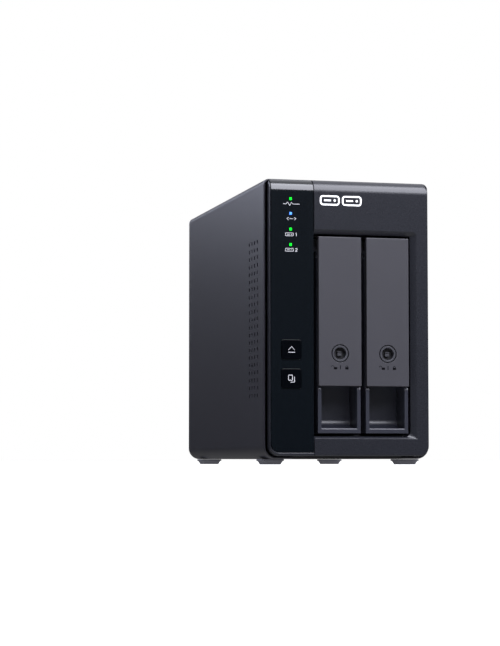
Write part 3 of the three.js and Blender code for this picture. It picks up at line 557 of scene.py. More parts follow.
def build_floor():
    sides = ((-1, -1), (1, -1), (1, 1), (-1, 1))
    corners = [(x * FLOOR_REACH, y * FLOOR_REACH, -FLOOR_DROP) for x, y in sides]
    floor = add_mesh("floor", corners, [(0, 1, 2, 3)])
    values = {
        "Base Color": (FLOOR_GREY, FLOOR_GREY, FLOOR_GREY, 1),
        "Roughness": 1,
        "Specular IOR Level": 0,
        "Emission Color": WHITE,
        "Emission Strength": FLOOR_GLOW,
    }
    floor.data.materials.append(new_material("floor_white", values)[0])
    floor.visible_glossy = False


def build_studio():
    for name, settings in LIGHTS.items():
        area_light(name, *settings)
    build_world()
    build_floor()
    scene.view_settings.view_transform = "Standard"


# ---- cover ----
def case_path(inset):
    """The case's cross-section from the left lip, round over the top, to the right lip."""
    x0, x1 = grown(COVER_X, -inset)
    z0, z1 = grown(COVER_Z, -inset)
    low, high = CORNER_LOW - inset, CORNER_HIGH - inset
    return (
        [(-COVER_LIP, z0)]
        + arc(x0 + low, z0 + low, low, 270, 180, 12)
        + arc(x0 + high, z1 - high, high, 180, 90, 8)
        + arc(x1 - high, z1 - high, high, 90, 0, 8)
        + arc(x1 - low, z0 + low, low, 0, -90, 12)
        + [(COVER_LIP, z0)]
    )


def cover_ring(y, outer_inset, wall):
    loop = case_path(outer_inset) + case_path(wall)[::-1]
    return [(x, y, z) for x, z in loop]


def vent_cutters():
    long, tall = VENT_SIZE
    slots = []
    for column in range(VENT["columns"]):
        y = FACE + VENT["first_y"] + column * VENT["pitch_y"]
        for row in range(VENT["rows"]):
            z = VENT["first_z"] + row * VENT["pitch_z"]
            outline = rounded(about(y, long / 2), about(z, tall / 2), VENT_CORNER, 3)
            slots.append(prism_x("slot", outline, grown(COVER_X, 1)))
    return merge("slots", slots)


def build_cover():
    """The cover thins to a rolled lip at the front, which leaves a deep dark gap round the bezel."""
    steps = 6
    front, rear = COVER_Y
    turns = [radians(90 * i / steps) for i in range(steps + 1)]
    lip = [(LIP_ROLL["long"] * (1 - cos(turn)), LIP_ROLL["deep"] * (1 - sin(turn))) for turn in turns]
    rings = [cover_ring(front + back, inset, LIP_WALL) for back, inset in lip + [(LIP_ENDS, 0)]]
    rings.append(cover_ring(front + WALL_STARTS, 0, COVER_WALL))
    rings += [cover_ring(rear - before, inset, COVER_WALL) for before, inset in REAR_ROUND]
    cover = loft("cover_shell", rings)
    cut(cover, vent_cutters())
    soften(cover, 0.18, 1, 60)
    finish_piece(cover, "cover", "chassis", "cover_paint", "outer_cover")


# ---- bezel and status panel ----
def set_back(radius, depth):
    """How far a quarter round of a radius still lies inside its edge at a depth."""
    reach = radius - min(depth, radius)
    return radius - sqrt(max(radius**2 - reach**2, 0))


def at_depth(outline, depth):
    return [(x, FACE + depth, z) for x, z in outline]


def bezel_ring(depth, sides=0.0):
    """One section of the front: the rim rounds off at the edges and the top rolls back."""
    inset = set_back(RIM, depth) + sides
    drop = set_back(BEZEL_CURVE, depth)
    high = min(BEZEL_HIGH["most"], BEZEL_HIGH["front"] + depth * BEZEL_HIGH["growth"]) - min(sides, SHARP)
    low = CORNER_LOW - BEZEL_LOW - inset
    outline = rounded(
        (BEZEL_X[0] + BEZEL_SIDE + inset, BEZEL_X[1] - BEZEL_SIDE - inset),
        (BEZEL_Z[0] + inset, BEZEL_TOP - drop - sides),
        (low, low, high, high),
        8,
    )
    return at_depth(outline, depth)


def rim_depths(end):
    """Depths close together round the rim and the roll, so that both stay smooth."""
    rim = [RIM * (1 - cos(radians(15 * i))) for i in range(7)]
    roll = [BEZEL_CURVE * (1 - cos(radians(6 * i))) for i in range(1, 16)]
    depths = sorted(d for d in rim + [r for r in roll if r > 0.03] if d < end - 0.05)
    spaced = []
    for depth in depths:
        if not spaced or depth - spaced[-1] > 0.02:
            spaced.append(depth)
    return spaced + [end]


def behind_face(name, inset):
    """All that lies behind the front's side-on curve, drawn in by an inset."""
    top = BEZEL_TOP - inset
    radius = BEZEL_CURVE - inset
    outline = [(FACE + inset, -PAST), (FACE + 60, -PAST), (FACE + 60, top)]
    outline += arc(FACE + inset + radius, top - radius, radius, 90, 180, 24)
    return prism_x(name, outline, (-60, 60))


def bezel_body(name):
    return loft(name, [bezel_ring(depth) for depth in rim_depths(BEZEL_BODY)])


def panel_outline(spread, right):
    """The status panel's outline, grown at the left and the bottom, and by another amount at the right."""
    return rounded(
        (PANEL_X[0] - spread, PANEL_X[1] + right),
        (PANEL_Z[0] - spread, BEZEL_Z[1] + PAST),
        (PANEL_CORNER + spread, 0.3, 0.3, 0.3),
    )


def panel_slab(name, clearance):
    return prism_y(name, panel_outline(clearance, clearance), (FACE - 5, FACE + BEZEL_BODY + 1))


def pocket_lead(name):
    """The sloped edge of the body down the left and along the bottom of the status panel."""
    steps = [at_depth(panel_outline(SEAM + spread, SEAM), depth) for depth, spread in POCKET_LEAD]
    return loft(name, steps)


def through_holes(clearance):
    """Cutters for the lamps and the panel's buttons."""
    cutters = []
    for nodes, (inset_x, inset_z), corner, steps in (
        (LAMPS, LENS_INSET, SHARP, 3),
        (("eject_button", "copy_button"), (0, 0), 1.4, 6),
    ):
        for node in nodes:
            x, _, z = span(node)
            outline = rounded(grown(x, clearance - inset_x), grown(z, clearance - inset_z), corner, steps)
            cutters.append(prism_y("hole", outline, CUT_Y))
    return merge("holes", cutters)


def flare_ring(depth):
    """The bay's opening, which widens towards the front with a slightly hollow, rounded edge."""
    share = 1 - max(depth, 0) / FLARE["depth"]
    share = share * (0.75 + 0.25 * share)
    sides = ("right", "bottom", "top")
    right, bottom, top = [BAY[side] + (FLARE[side] - BAY[side]) * share for side in sides]
    round_low = BAY_CORNER + FLARE_LOW * share
    round_high = FLARE_HIGH[0] + FLARE_HIGH[1] * share
    outline = rounded((BAY["left"], right), (bottom, top), (SHARP, round_low, round_high, SHARP), 8)
    return at_depth(outline, depth)


def build_bezel():
    body = bezel_body("bezel_shell")
    necks = (NECK["start"], BEZEL_CURVE, NECK["end"])
    weld(body, loft("neck", [bezel_ring(depth, NECK["inset"]) for depth in necks]))
    hollow = loft("hollow", [bezel_ring(depth, HOLLOW_INSET) for depth in HOLLOW_DEPTHS])
    combine(hollow, [behind_face("back", BEZEL_WALL)], "INTERSECT")
    cut(body, hollow)
    bay_x, bay_z = (BAY["left"], BAY["right"]), (BAY["bottom"], BAY["top"])
    collar_y = (FACE + BEZEL_WALL - 0.5, FACE + 12)
    weld(body, block("collar", grown(bay_x, COLLAR_WALL), collar_y, grown(bay_z, COLLAR_WALL)))
    opening = prism_y("opening", rounded(bay_x, bay_z, (SHARP, BAY_CORNER, SHARP, SHARP)), CUT_Y)
    flare = loft("flare", [flare_ring(depth) for depth in (-0.5, 0, 0.5, 1, 1.5, 2)])
    seam = block("seam", (PANEL_X[1], PANEL_X[1] + SEAM), about(FACE, 1), (0, PANEL_Z[0] + 1))
    pocket = panel_slab("pocket", SEAM)
    cut(pocket, behind_face("skin", POCKET_DEPTH))
    cut(body, opening, flare, seam, pocket, pocket_lead("pocket_lead"), through_holes(0.3))
    soften(body, 0.3, 3, 25)
    finish_piece(body, "bezel", "chassis", "bezel_plastic", "front_bezel")


def build_status_panel():
    panel = bezel_body("status_panel_gloss")
    combine(panel, [panel_slab("slab", 0), behind_face("front_skin", PANEL_SET)], "INTERSECT")
    cut(panel, behind_face("skin", PANEL_WALL), through_holes(0.2))
    soften(panel, 0.25, 3, 30)
    finish_piece(panel, "gloss", "chassis", "gloss_panel", "status_panel")


def build_lamps():
    for node, (look, slot) in LAMPS.items():
        x, y, z = span(node)
        inset_x, inset_z = LENS_INSET
        outline = rounded(grown(x, -inset_x), grown(z, -inset_z), 0.12, 3)
        lens = prism_y(f"{node}_lit", outline, (FACE + PANEL_SET - 0.05, y[1]))
        soften(lens, 0.08)
        finish_piece(lens, look, "chassis", slot, node)


# ---- printed marks: strokes of a thin ink layer, facing the front ----
INK = 0.035
SIGN_LINE = 0.3
SIGN_DROP = 2.2  # a lamp's sign lies this far below its lens
PULSE = [(-5, 0), (-3.2, 0), (-2.3, 1), (-1.1, -0.95), (0.1, 0.9), (1, 0), (5, 0)]
MARK = {"left": -18.3, "middle": 155.75, "wide": 12.1, "tall": 5.0, "gap": 1.5, "line": 0.95}


def stroke(points, width, face, closed=False):
    """One flat strip of ink along a line of points, mitred at its corners."""
    sections = []
    count = len(points)
    for i, (x, z) in enumerate(points):
        before = points[i - 1] if closed or i else points[i]
        after = points[(i + 1) % count] if closed or i < count - 1 else points[i]
        turns = []
        for (ax, az), (bx, bz) in ((before, (x, z)), ((x, z), after)):
            length = hypot(bx - ax, bz - az)
            if length:
                turns.append(((az - bz) / length, (bx - ax) / length))
        nx = sum(t[0] for t in turns) / len(turns)
        nz = sum(t[1] for t in turns) / len(turns)
        reach = width / 2 / (nx * nx + nz * nz)
        near, far = (x + nx * reach, z + nz * reach), (x - nx * reach, z - nz * reach)
        sides = ((near, -INK), (far, -INK), (far, INK), (near, INK))
        sections.append([(side[0], face + rise, side[1]) for side, rise in sides])
    return [loft("strip", sections, wrap=closed)]


def arch_stroke(x, z, radius, face):
    return stroke(arc(x, z, radius, 0, 180, 24), SIGN_LINE, face)


def outline_stroke(x, z, corner, width, face):
    return stroke(rounded(x, z, corner, 5), width, face, closed=True)


def patch(x, z, corner, face):
    return [prism_y("patch", rounded(x, z, corner, 4), about(face, INK))]


def print_marks(name, parts, look, body, slot):
    finish_piece(merge(name, parts), look, body, slot)


def numeral(number, x, z, face):
    """The figures 1 and 2, drawn with single strokes."""
    lines = {
        1: [(-0.45, 0.55), (0, 0.95), (0, -0.95)],
        2: [(-0.55, 0.6), (-0.3, 0.9), (0.3, 0.9), (0.55, 0.6), (0.5, 0.2), (-0.55, -0.85), (0.6, -0.85)],
    }
    return stroke([(x + dx, z + dz) for dx, dz in lines[number]], 0.32, face)


def link_sign(x, z, face):
    """A double arrow."""
    marks = stroke([(x - 1.2, z), (x + 1.2, z)], SIGN_LINE, face)
    for side in (-1, 1):
        head = [(x + side * 1.7, z + 0.85), (x + side * 2.7, z), (x + side * 1.7, z - 0.85)]
        marks += stroke(head, SIGN_LINE, face)
    return marks


def disk_sign(number, x, z, face):
    """A small drive with its number."""
    return (
        outline_stroke((x - 3.6, x + 1.2), about(z, 0.85), 0.35, SIGN_LINE, face)
        + stroke([(x - 2.7, z), (x - 0.9, z)], SIGN_LINE, face)
        + patch((x - 0.1, x + 0.4), about(z, 0.25), 0.2, face)
        + numeral(number, x + 3, z, face)
    )


def build_panel_signs():
    """A small sign under each lamp."""
    x = middle("status_lens")[0] + 0.4
    face = FACE + PANEL_SET
    pulse_z, link_z, *disk_levels = [span(node)[2][0] - SIGN_DROP for node in LAMPS]
    marks = stroke([(x + dx, pulse_z + dz) for dx, dz in PULSE], SIGN_LINE, face)
    marks += link_sign(x, link_z, face)
    for number, z in enumerate(disk_levels, 1):
        marks += disk_sign(number, x, z, face)
    print_marks("panel_signs", marks, "print", "chassis", "gloss_panel")


def build_front_mark():
    """Two plain white drives at the top of the front."""
    z, wide, line = MARK["middle"], MARK["wide"], MARK["line"]
    marks = []
    for i in range(2):
        x = MARK["left"] + i * (wide + MARK["gap"])
        edge_x = grown((x, x + wide), -line / 2)
        edge_z = about(z, MARK["tall"] / 2)
        marks += outline_stroke(edge_x, edge_z, 1.4, line, FACE)
        marks += stroke([(x + 2.6, z), (x + 6.8, z)], line, FACE)
        marks += patch((x + 8.4, x + 9.8), about(z, 0.7), 0.65, FACE)
    print_marks("front_mark", marks, "white_print", "chassis", "bezel_plastic")


def eject_sign(x, z, face):
    marks = stroke([(x - 1.9, z - 0.35), (x, z + 1.7), (x + 1.9, z - 0.35)], 0.26, face)
    return marks + stroke([(x - 2.0, z - 1.6), (x + 2.0, z - 1.6)], 0.38, face)


def copy_sign(x, z, face):
    """One page in front of another."""
    marks = outline_stroke((x - 1.9, x + 0.5), (z - 1.0, z + 2.0), 0.4, 0.36, face)
    return marks + stroke([(x + 1.7, z + 1.1), (x + 1.7, z - 2.1), (x - 0.7, z - 2.1)], 0.36, face)


def build_panel_buttons():
    for kind, sign in (("eject", eject_sign), ("copy", copy_sign)):
        node = f"{kind}_button"
        x, (front, rear), z = span(node)
        cx, cz = middle(node)
        cap = prism_y(f"{kind}_cap", rounded(x, z, 1.2), (front, front + 3.6))
        stem = [(0, front + 3), (2, front + 3), (2, rear - 0.3), (1.7, rear), (0, rear)]
        weld(cap, turned("stem", stem, cx, cz))
        soften(cap, 0.45, 3)
        finish_piece(cap, "button", node, "button_black", node)
        print_marks(f"{kind}_sign", sign(cx, cz, front), "print", node, "button_black")


# ---- small parts on a board ----
def build_chips(name, x, spots, body):
    """Chips standing on a board's face, each with its y, its z and half its two sides."""
    chips = merge(name, [block("chip", x, about(y, a), about(z, b)) for y, z, a, b in spots])
    soften(chips, 0.15)
    finish_piece(chips, "chip", body, "chip_black")


# ---- trays; depths are behind the front face ----
TRAY_WALL = 2.1
TRAY_FRONT = 1
TRAY_BLOCK = 19.3  # the rear of the tray's front block
TRAY_SIDE = {"rear": 13.5, "top": 126, "nose": 4.53, "slope_z": 124.37, "step": 2.9, "tab_z": 45.5}
# the tab's top front edge: back from its face, and down from its top
TAB_EDGE = [(0.9, 0), (0.5, 0.12), (0.3, 0.4), (0.1, 1.2), (0, 1.9)]
RECESS = {"lip": 21.4, "top": 57.6, "back": 16.6, "floor": 21.8, "fillet": 5, "round": 0.9, "wall": 1.6}
RAIL = 3.4
WINDOWS = {"levels": (66, 84, 102), "reach": 8, "tall": 13}
HINGE = {"back": 5, "z": 123.5, "bore": 1.6, "lug": 2.2, "inner": 6, "outer": 9.6}
HANDLE_BACK = 2.5
LOCK_Z = 65.2
LOCK_HOLE = 5.33
LOCK_MIDDLE = 5.05  # from the left of the lock's box, which its cam makes lopsided
LOCK = {"radius": 5.1, "key": 3.6, "floor": 3.2, "steps": 64}
LOCK_SIGNS_Z = 57.0


def pin_hole(left, right):
    """A cutter for the hinge pin, through a tray's whole width."""
    hole = rod("pin_hole", HINGE["bore"], (left - 1, right + 1), 0, 0)
    return place(hole, -90, "Z", (0, FACE + HINGE["back"], HINGE["z"]))


def tray_side(bottom, top):
    """The outline of a tray's side wall, with the tab's rounded top edge at the front."""
    side = TRAY_SIDE
    points = [(TRAY_FRONT, bottom), (TRAY_BLOCK, bottom), (TRAY_BLOCK, top), (side["rear"], top)]
    points += [(side["rear"], side["top"]), (side["nose"], side["top"])]
    points += [(side["step"], side["slope_z"]), (side["step"], side["tab_z"])]
    points += [(TRAY_FRONT + back, side["tab_z"] - down) for back, down in TAB_EDGE]
    return [(FACE + depth, z) for depth, z in points]


def tray_core(bottom, top):
    """The outline between the side walls: the recess's lip, floor and back."""
    front, block_rear, back = FACE + TRAY_FRONT, FACE + TRAY_BLOCK, FACE + RECESS["back"]
    bend, round_lip = RECESS["fillet"], RECESS["round"]
    core = [(front, bottom), (block_rear, bottom), (block_rear, top), (back, top)]
    core += arc(back - bend, RECESS["floor"] + bend, bend, 0, -90, 14)
    return core + arc(front + round_lip, RECESS["lip"] - round_lip, round_lip, 90, 180, 8)


def build_tray_frame(n):
    node = f"tray_{n}_frame"
    (left, right), (_, rear), (bottom, top) = span(node)
    centre = (left + right) / 2
    block_rear = FACE + TRAY_BLOCK
    back = FACE + RECESS["back"]
    side = tray_side(bottom, top)
    tray = prism_x(f"tray_frame_{n}", side, (left, left + TRAY_WALL))
    between = (left + 1, right - 1)
    ceiling = block("ceiling", between, (FACE + 6, back + 1), (RECESS["top"], RECESS["top"] + RECESS["wall"]))
    rails = [
        block("rail", (left + 2, right - 2), (block_rear - 1, rear), (z, z + RAIL))
        for z in (bottom, top - RAIL)
    ]
    other_side = prism_x("side", side, (right - TRAY_WALL, right))
    weld(tray, other_side, prism_x("core", tray_core(bottom, top), between), ceiling, *rails)
    window_x, window_y = about(centre, WINDOWS["reach"]), (back - 1, block_rear + 1)
    windows = [block("window", window_x, window_y, (z, z + WINDOWS["tall"]), 1.5) for z in WINDOWS["levels"]]
    # long grooves along the rails, where the guide's ribs run
    grooves = [
        block("groove", about(centre, 5), (block_rear + 8, rear - 6), (z, z + 1.2), 0.4)
        for z in (bottom - 0.4, top - 0.8)
    ]
    cut(tray, *windows, pin_hole(left, right), *grooves)
    soften(tray, 0.28)
    finish_piece(tray, "tray", f"tray_{n}", "tray_plastic", node)


def build_tray_handle(n):
    node = f"tray_{n}_handle"
    (left, right), (front, _), (bottom, top) = span(node)
    centre = (left + right) / 2
    back = FACE + HANDLE_BACK
    side = [(front, bottom), (back, bottom), (back, top), (front + 0.3, top), (front, top - 0.3)]
    handle = prism_x(f"tray_handle_{n}", side, (left, right))
    low, high = about(HINGE["z"], HINGE["lug"])
    lug = [(back - 0.5, low)] + arc(FACE + HINGE["back"], HINGE["z"], HINGE["lug"], -90, 90, 12)
    lug.append((back - 0.5, high))
    for ends in ((-HINGE["outer"], -HINGE["inner"]), (HINGE["inner"], HINGE["outer"])):
        weld(handle, prism_x("lug", lug, [centre + end for end in ends]))
    lock_hole = rod("lock_hole", LOCK_HOLE, (front - 2, back + 3), centre, LOCK_Z, LOCK["steps"])
    cut(handle, pin_hole(left, right), lock_hole)
    soften(handle, 0.4, 3)
    finish_piece(handle, "handle", node, "handle_plastic", node)
    build_lock_signs(n, centre, front)


def build_lock_signs(n, x, face):
    """An open and a closed padlock, with a line between them for the key's slot."""
    z = LOCK_SIGNS_Z
    body = (z - 1.15, z + 0.15)
    marks = patch((x - 3.9, x - 1.9), body, 0.2, face)
    marks += arch_stroke(x - 4.7, z + 0.25, 0.75, face)
    marks += stroke([(x, z - 1.2), (x, z + 1.2)], 0.45, face)
    marks += patch((x + 3.0, x + 5.0), body, 0.2, face)
    marks += arch_stroke(x + 4.0, z + 0.2, 0.7, face)
    print_marks(f"lock_signs_{n}", marks, "dark_print", f"tray_{n}_handle", "handle_plastic")


def build_lock(n):
    node = f"tray_{n}_lock"
    (left, _), (front, rear), _ = span(node)
    x, z = left + LOCK_MIDDLE, LOCK_Z
    radius, key, floor = LOCK["radius"], LOCK["key"], LOCK["floor"]
    ring = [(key - 0.2, floor), (key - 0.05, 1), (key, 0.2), (key + 0.12, 0.02), (radius - 0.45, 0)]
    ring += [(radius - 0.3, 0.1), (radius - 0.25, 0.35), (radius - 0.25, 1.5), (radius, 1.6)]
    profile = [(0, front + floor)] + [(r, front + depth) for r, depth in ring]
    profile += [(radius, rear - 2), (0, rear - 2)]
    barrel = turned(f"lock_barrel_{n}", profile, x, z, LOCK["steps"])
    post = prism_y("post", rounded(about(x, 1.35), about(z, 1.35), 0.4), (front + 1.6, front + floor + 0.5))
    cut(post, block("slit", about(x, 2), (front, front + 2.5), (z + 0.35, z + 0.7)))
    cam = prism_y("cam", rounded((x - 2.5, x + 9), about(z, 2.5), 1.2), (rear - 2.2, rear))
    weld(barrel, post, cam)
    soften(barrel, 0.12)
    finish_piece(barrel, "lock", node, "black_plastic", node)
    build_keyway_shade_liner(n, x, front)


def build_keyway_shade_liner(n, x, front):
    """A near-black liner over the keyway's floor and wall: painted shade inside the keyway."""
    key, floor = LOCK["key"], LOCK["floor"]
    ring = [(0, floor - 0.06), (key - 0.3, floor - 0.06), (key - 0.12, floor - 0.3), (key - 0.06, 0.75)]
    ring += [(key + 0.04, 0.75), (key + 0.04, floor + 0.4), (0, floor + 0.4)]
    profile = [(radius, front + depth) for radius, depth in ring]
    liner = turned(f"keyway_shade_liner_{n}", profile, x, LOCK_Z, LOCK["steps"])
    soften(liner, 0)
    finish_piece(liner, "black", f"tray_{n}_lock", "black_plastic")


def build_drive(n):
    """A cast body with a stamped lid, its screws and a blank label, and chips on the board."""
    node, tray = f"drive_{n}_body", f"tray_{n}"
    (left, right), (front, rear), (bottom, top) = span(node)
    body = block(f"drive_body_{n}", (left, right - 1.2), (front, rear), (bottom, top))
    cut(body, block("pocket", (left - 1, left + 3.2), (front + 62, rear + 1), (bottom + 8, top - 8)))
    soften(body, 1.0, 3)
    finish_piece(body, "cast", tray, "cast_aluminium", node)

    lid_outline = rounded((front + 2, rear - 22), (bottom + 2, top - 2), 9, 8)
    lid = prism_x(f"drive_lid_{n}", lid_outline, (right - 1.3, right - 0.35))
    y, z = front + 62, (bottom + top) / 2
    cut(lid, prism_x("dish", arc(y, z, 40, 0, 359, 72)[:-1], (right - 0.75, right + 1)))
    soften(lid, 0.3)
    finish_piece(lid, "lid", tray, "cast_aluminium")
    label = prism_x(f"drive_label_{n}", rounded(about(y, 30), about(z, 22), 3), (right - 0.8, right - 0.7))
    finish_piece(label, "label", tray, "cast_aluminium")

    heads = []
    for y in (front + 7, front + 62, rear - 28):
        for z in (bottom + 7, top - 7):
            head = turned("head", [(0, 0), (2.1, 0), (2.4, 0.3), (2.4, 0.8), (0, 0.8)], 0, 0)
            heads.append(place(head, 90, "Z", (right, y, z)))
    screws = merge(f"drive_screws_{n}", heads)
    soften(screws, 0)
    finish_piece(screws, "plated", tray, "cast_aluminium")

    (x, _), (y, _), (z, _) = span(f"drive_{n}_board")
    spots = [(y + 20, z + 26, 9, 9), (y + 46, z + 58, 6, 6), (y + 52, z + 22, 5, 5)]
    build_chips(f"drive_chips_{n}", (x - 1, x + 0.1), spots, tray)


# ---- feet ----
def build_feet():
    for corner in ("front_left", "front_right", "rear_left", "rear_right"):
        node = f"foot_{corner}"
        x, y, (z0, z1) = span(node)
        levels = [(z0, 1.75), (z0 + 0.15, 1.6), (z1 - 0.9, 0.6), (z1 - 0.75, 0.0), (z1 + 0.2, 0.0)]
        rings = []
        for z, inset in levels:
            rings.append([(a, b, z) for a, b in rounded(grown(x, -inset), grown(y, -inset), 1.6, 5)])
        foot = loft(f"{node}_pad", rings)
        soften(foot, 0.12, 2, 40)
        finish_piece(foot, "rubber", "chassis", "foot_rubber", node)


# ---- rear ----
FAN_BORE = 28  # radius of the opening in the rear panel
HOUSING_BORE = 28.6
FAN_SCREW = 25  # how far the fan's screws stand from its axis, sideways and up
REAR_SLOTS = {"count": 5, "first": 26, "pitch": 8, "reach": 26, "half": 1.5}
LOCK_SLOT = ((-40.5, -37.5), (36.5, 43.5))
# how much wider than each part its opening is, and the opening's corner radius
REAR_OPENINGS = {
    "power_button": (0.3, 3.3),
    "dip_switch_body": (0.4, 0.5),
    "usb_port": (0.4, 1.8),
    "power_jack": (0.4, 1.0),
}
WIRE = 0.7
GUARD_RINGS = (10, 14.5, 19, 23.5, 28)
GUARD_BAR = (7.1, 23.2)  # the two ends of a bar, sideways and up from the fan's axis
COVER_SCREWS = ("cover_screw_1", "cover_screw_2", "cover_screw_3")
THUMB_HEAD = {"radius": 4.2, "teeth": 36, "groove": 0.22}


def build_rear():
    x, (front, rear), z = span("rear_panel")
    panel = prism_y("rear_sheet", rounded(x, z, (5.2, 5.2, 1.2, 1.2)), (front, rear))
    through = (front - 1, rear + 1)
    fan_x, fan_z = middle("fan_frame")
    cutters = [rod("bore", FAN_BORE, through, fan_x, fan_z, 72)]
    for i in range(REAR_SLOTS["count"]):
        slot_z = REAR_SLOTS["first"] + i * REAR_SLOTS["pitch"]
        outline = rounded(about(fan_x, REAR_SLOTS["reach"]), about(slot_z, REAR_SLOTS["half"]), 1.4)
        cutters.append(prism_y("slot", outline, through))
    for node, (grow, corner) in REAR_OPENINGS.items():
        part_x, _, part_z = span(node)
        cutters.append(prism_y("port", rounded(grown(part_x, grow), grown(part_z, grow), corner), through))
    cutters.append(prism_y("slot", rounded(*LOCK_SLOT, 0.8), through))
    cutters += [rod("bore", 1.9, through, *middle(node)) for node in COVER_SCREWS]
    cut(panel, merge("cutters", cutters))
    soften(panel, 0.2)
    finish_piece(panel, "cover", "chassis", "cover_paint", "rear_panel")


def cross_cutters(x, z, y, reach, half):
    """The two crossed slots of a screw's head."""
    return [
        block("slot", about(x, reach), y, about(z, half)),
        block("slot", about(x, half), y, about(z, reach)),
    ]


def build_guard():
    _, (front, rear), _ = span("fan_guard")
    cx, cz = middle("fan_guard")
    y = front + WIRE
    wires = []
    for radius in GUARD_RINGS:
        wires.append(pipe("ring", [(a, y, b) for a, b in circle(cx, cz, radius, 72)], WIRE, closed=True))
    for dx, dz in CORNERS:
        bar = [(cx + dx * reach, y + 0.9, cz + dz * reach) for reach in GUARD_BAR]
        wires.append(pipe("bar", bar, WIRE))
        eye = circle(cx + dx * FAN_SCREW, cz + dz * FAN_SCREW, 2.5, 24)
        wires.append(pipe("eye", [(a, y + 0.2, b) for a, b in eye], WIRE, closed=True))
    guard = merge("wire_guard", wires)
    guard.data.shade_smooth()
    finish_piece(guard, "plated", "chassis", "plated_steel", "fan_guard")
    heads = []
    for dx, dz in CORNERS:
        x, z = cx + dx * FAN_SCREW, cz + dz * FAN_SCREW
        profile = [(0, front), (2.4, front), (2.4, rear - 0.9), (2.0, rear - 0.2), (1.2, rear), (0, rear)]
        head = turned("head", profile, x, z)
        cut(head, *cross_cutters(x, z, (rear - 0.7, rear + 1), 1.4, 0.25))
        heads.append(head)
    screws = merge("guard_screws", heads)
    soften(screws, 0)
    finish_piece(screws, "black", "chassis", "black_plastic")


# ---- fan ----
HUB = {"radius": 12, "deep": 2.6}
STRUTS = 3
ROTOR_GAP = 0.8  # between the rotor and the struts
BLADES = 7
BLADE_STEPS = 6
BLADE_ROOT = 11.2
BLADE_LONG = 16
BLADE_SWEEP = 0.55
BLADE_PITCH = (52, -18)  # in degrees: at the root, and the change to the tip
BLADE_CHORD = (7.2, 2.5)  # half the chord: at the root, and the change to the tip
BLADE_SECTION = ((-1, -0.5), (0, -0.15), (1, -0.5), (1, 0.4), (0, 0.75), (-1, 0.4))


def build_fan_housing():
    x, (front, rear), z = span("fan_frame")
    cx, cz = middle("fan_frame")
    through = (front - 1, rear + 1)
    housing = prism_y("fan_housing", rounded(x, z, 4), (front, rear))
    cut(housing, rod("bore", HOUSING_BORE, through, cx, cz, 96))
    holes = [rod("hole", 2.1, through, cx + dx * FAN_SCREW, cz + dz * FAN_SCREW) for dx, dz in CORNERS]
    cut(housing, merge("holes", holes))
    deep = (rear - HUB["deep"], rear)
    struts = [rod("hub", HUB["radius"], deep, cx, cz, 48)]
    for i in range(STRUTS):
        strut = block("strut", (-1.3, 1.3), deep, (10, 29.5))
        struts.append(place(strut, 360 / STRUTS * i, "Y", (cx, 0, cz)))
    weld(housing, *struts)
    soften(housing, 0.3)
    finish_piece(housing, "black", "chassis", "black_plastic", "fan_frame")


def blade_ring(start, share, y, cx, cz):
    """A blade's section at a share of its length, kept between the two values of y."""
    radius = BLADE_ROOT + share * BLADE_LONG
    pitch = radians(BLADE_PITCH[0] + BLADE_PITCH[1] * share)
    chord = BLADE_CHORD[0] + BLADE_CHORD[1] * share
    ring = []
    for reach, across in BLADE_SECTION:
        along = reach * chord
        tangent = along * cos(pitch) - across * sin(pitch)
        depth = along * sin(pitch) + across * cos(pitch)
        angle = start + BLADE_SWEEP * share + tangent / radius
        at = max(y[0] + 0.4, min(y[1] - 0.2, (y[0] + y[1]) / 2 + depth))
        ring.append((cx + radius * cos(angle), at, cz + radius * sin(angle)))
    return ring


def build_fan_rotor():
    """A hub with seven swept, twisted blades, which runs just in front of the struts."""
    cx, cz = middle("fan_frame")
    front = span("fan_rotor")[1][0]
    rear = span("fan_frame")[1][1] - HUB["deep"] - ROTOR_GAP
    radius = HUB["radius"]
    nose = [(0, front), (radius - 1.5, front), (radius - 0.4, front + 0.3), (radius, front + 1.2)]
    profile = nose + [(radius, rear), (0, rear)]
    parts = [turned("fan_blades", profile, cx, cz, 48)]
    for i in range(BLADES):
        start = 2 * pi * i / BLADES
        shares = [k / BLADE_STEPS for k in range(BLADE_STEPS + 1)]
        parts.append(loft("blade", [blade_ring(start, share, (front, rear), cx, cz) for share in shares]))
    rotor = merge("fan_blades", parts)
    soften(rotor, 0)
    finish_piece(rotor, "black", "fan_rotor", "black_plastic", "fan_rotor")


def build_cover_screws():
    for n, node in enumerate(COVER_SCREWS, 1):
        _, (front, rear), _ = span(node)
        cx, cz = middle(node)
        teeth = THUMB_HEAD["teeth"]
        base = COVER_Y[1] + 0.3
        rings = []
        for y, shrink in ((base, 0.35), (base + 0.35, 0.0), (rear - 0.5, 0.0), (rear, 0.5)):
            ring = []
            for i in range(teeth * 2):
                radius = THUMB_HEAD["radius"] - shrink - (THUMB_HEAD["groove"] if i % 2 else 0.0)
                angle = pi * i / teeth
                ring.append((cx + radius * cos(angle), y, cz + radius * sin(angle)))
            rings.append(ring)
        screw = loft(f"thumb_screw_{n}", rings)
        weld(screw, rod("shank", 1.5, (front, base + 0.5), cx, cz))
        cut(screw, *cross_cutters(cx, cz, (rear - 1.4, rear + 1), 2.2, 0.4))
        soften(screw, 0)
        finish_piece(screw, "plated", "chassis", "plated_steel", node)


# ---- sockets, power button and slide switches ----
USB = {"wall": 0.35, "corner": 1.5, "deep": 6.5, "contacts": 12, "first": -2.75, "pitch": 0.5}
DIP_LEVERS = ("dip_lever_1", "dip_lever_2", "dip_lever_3")


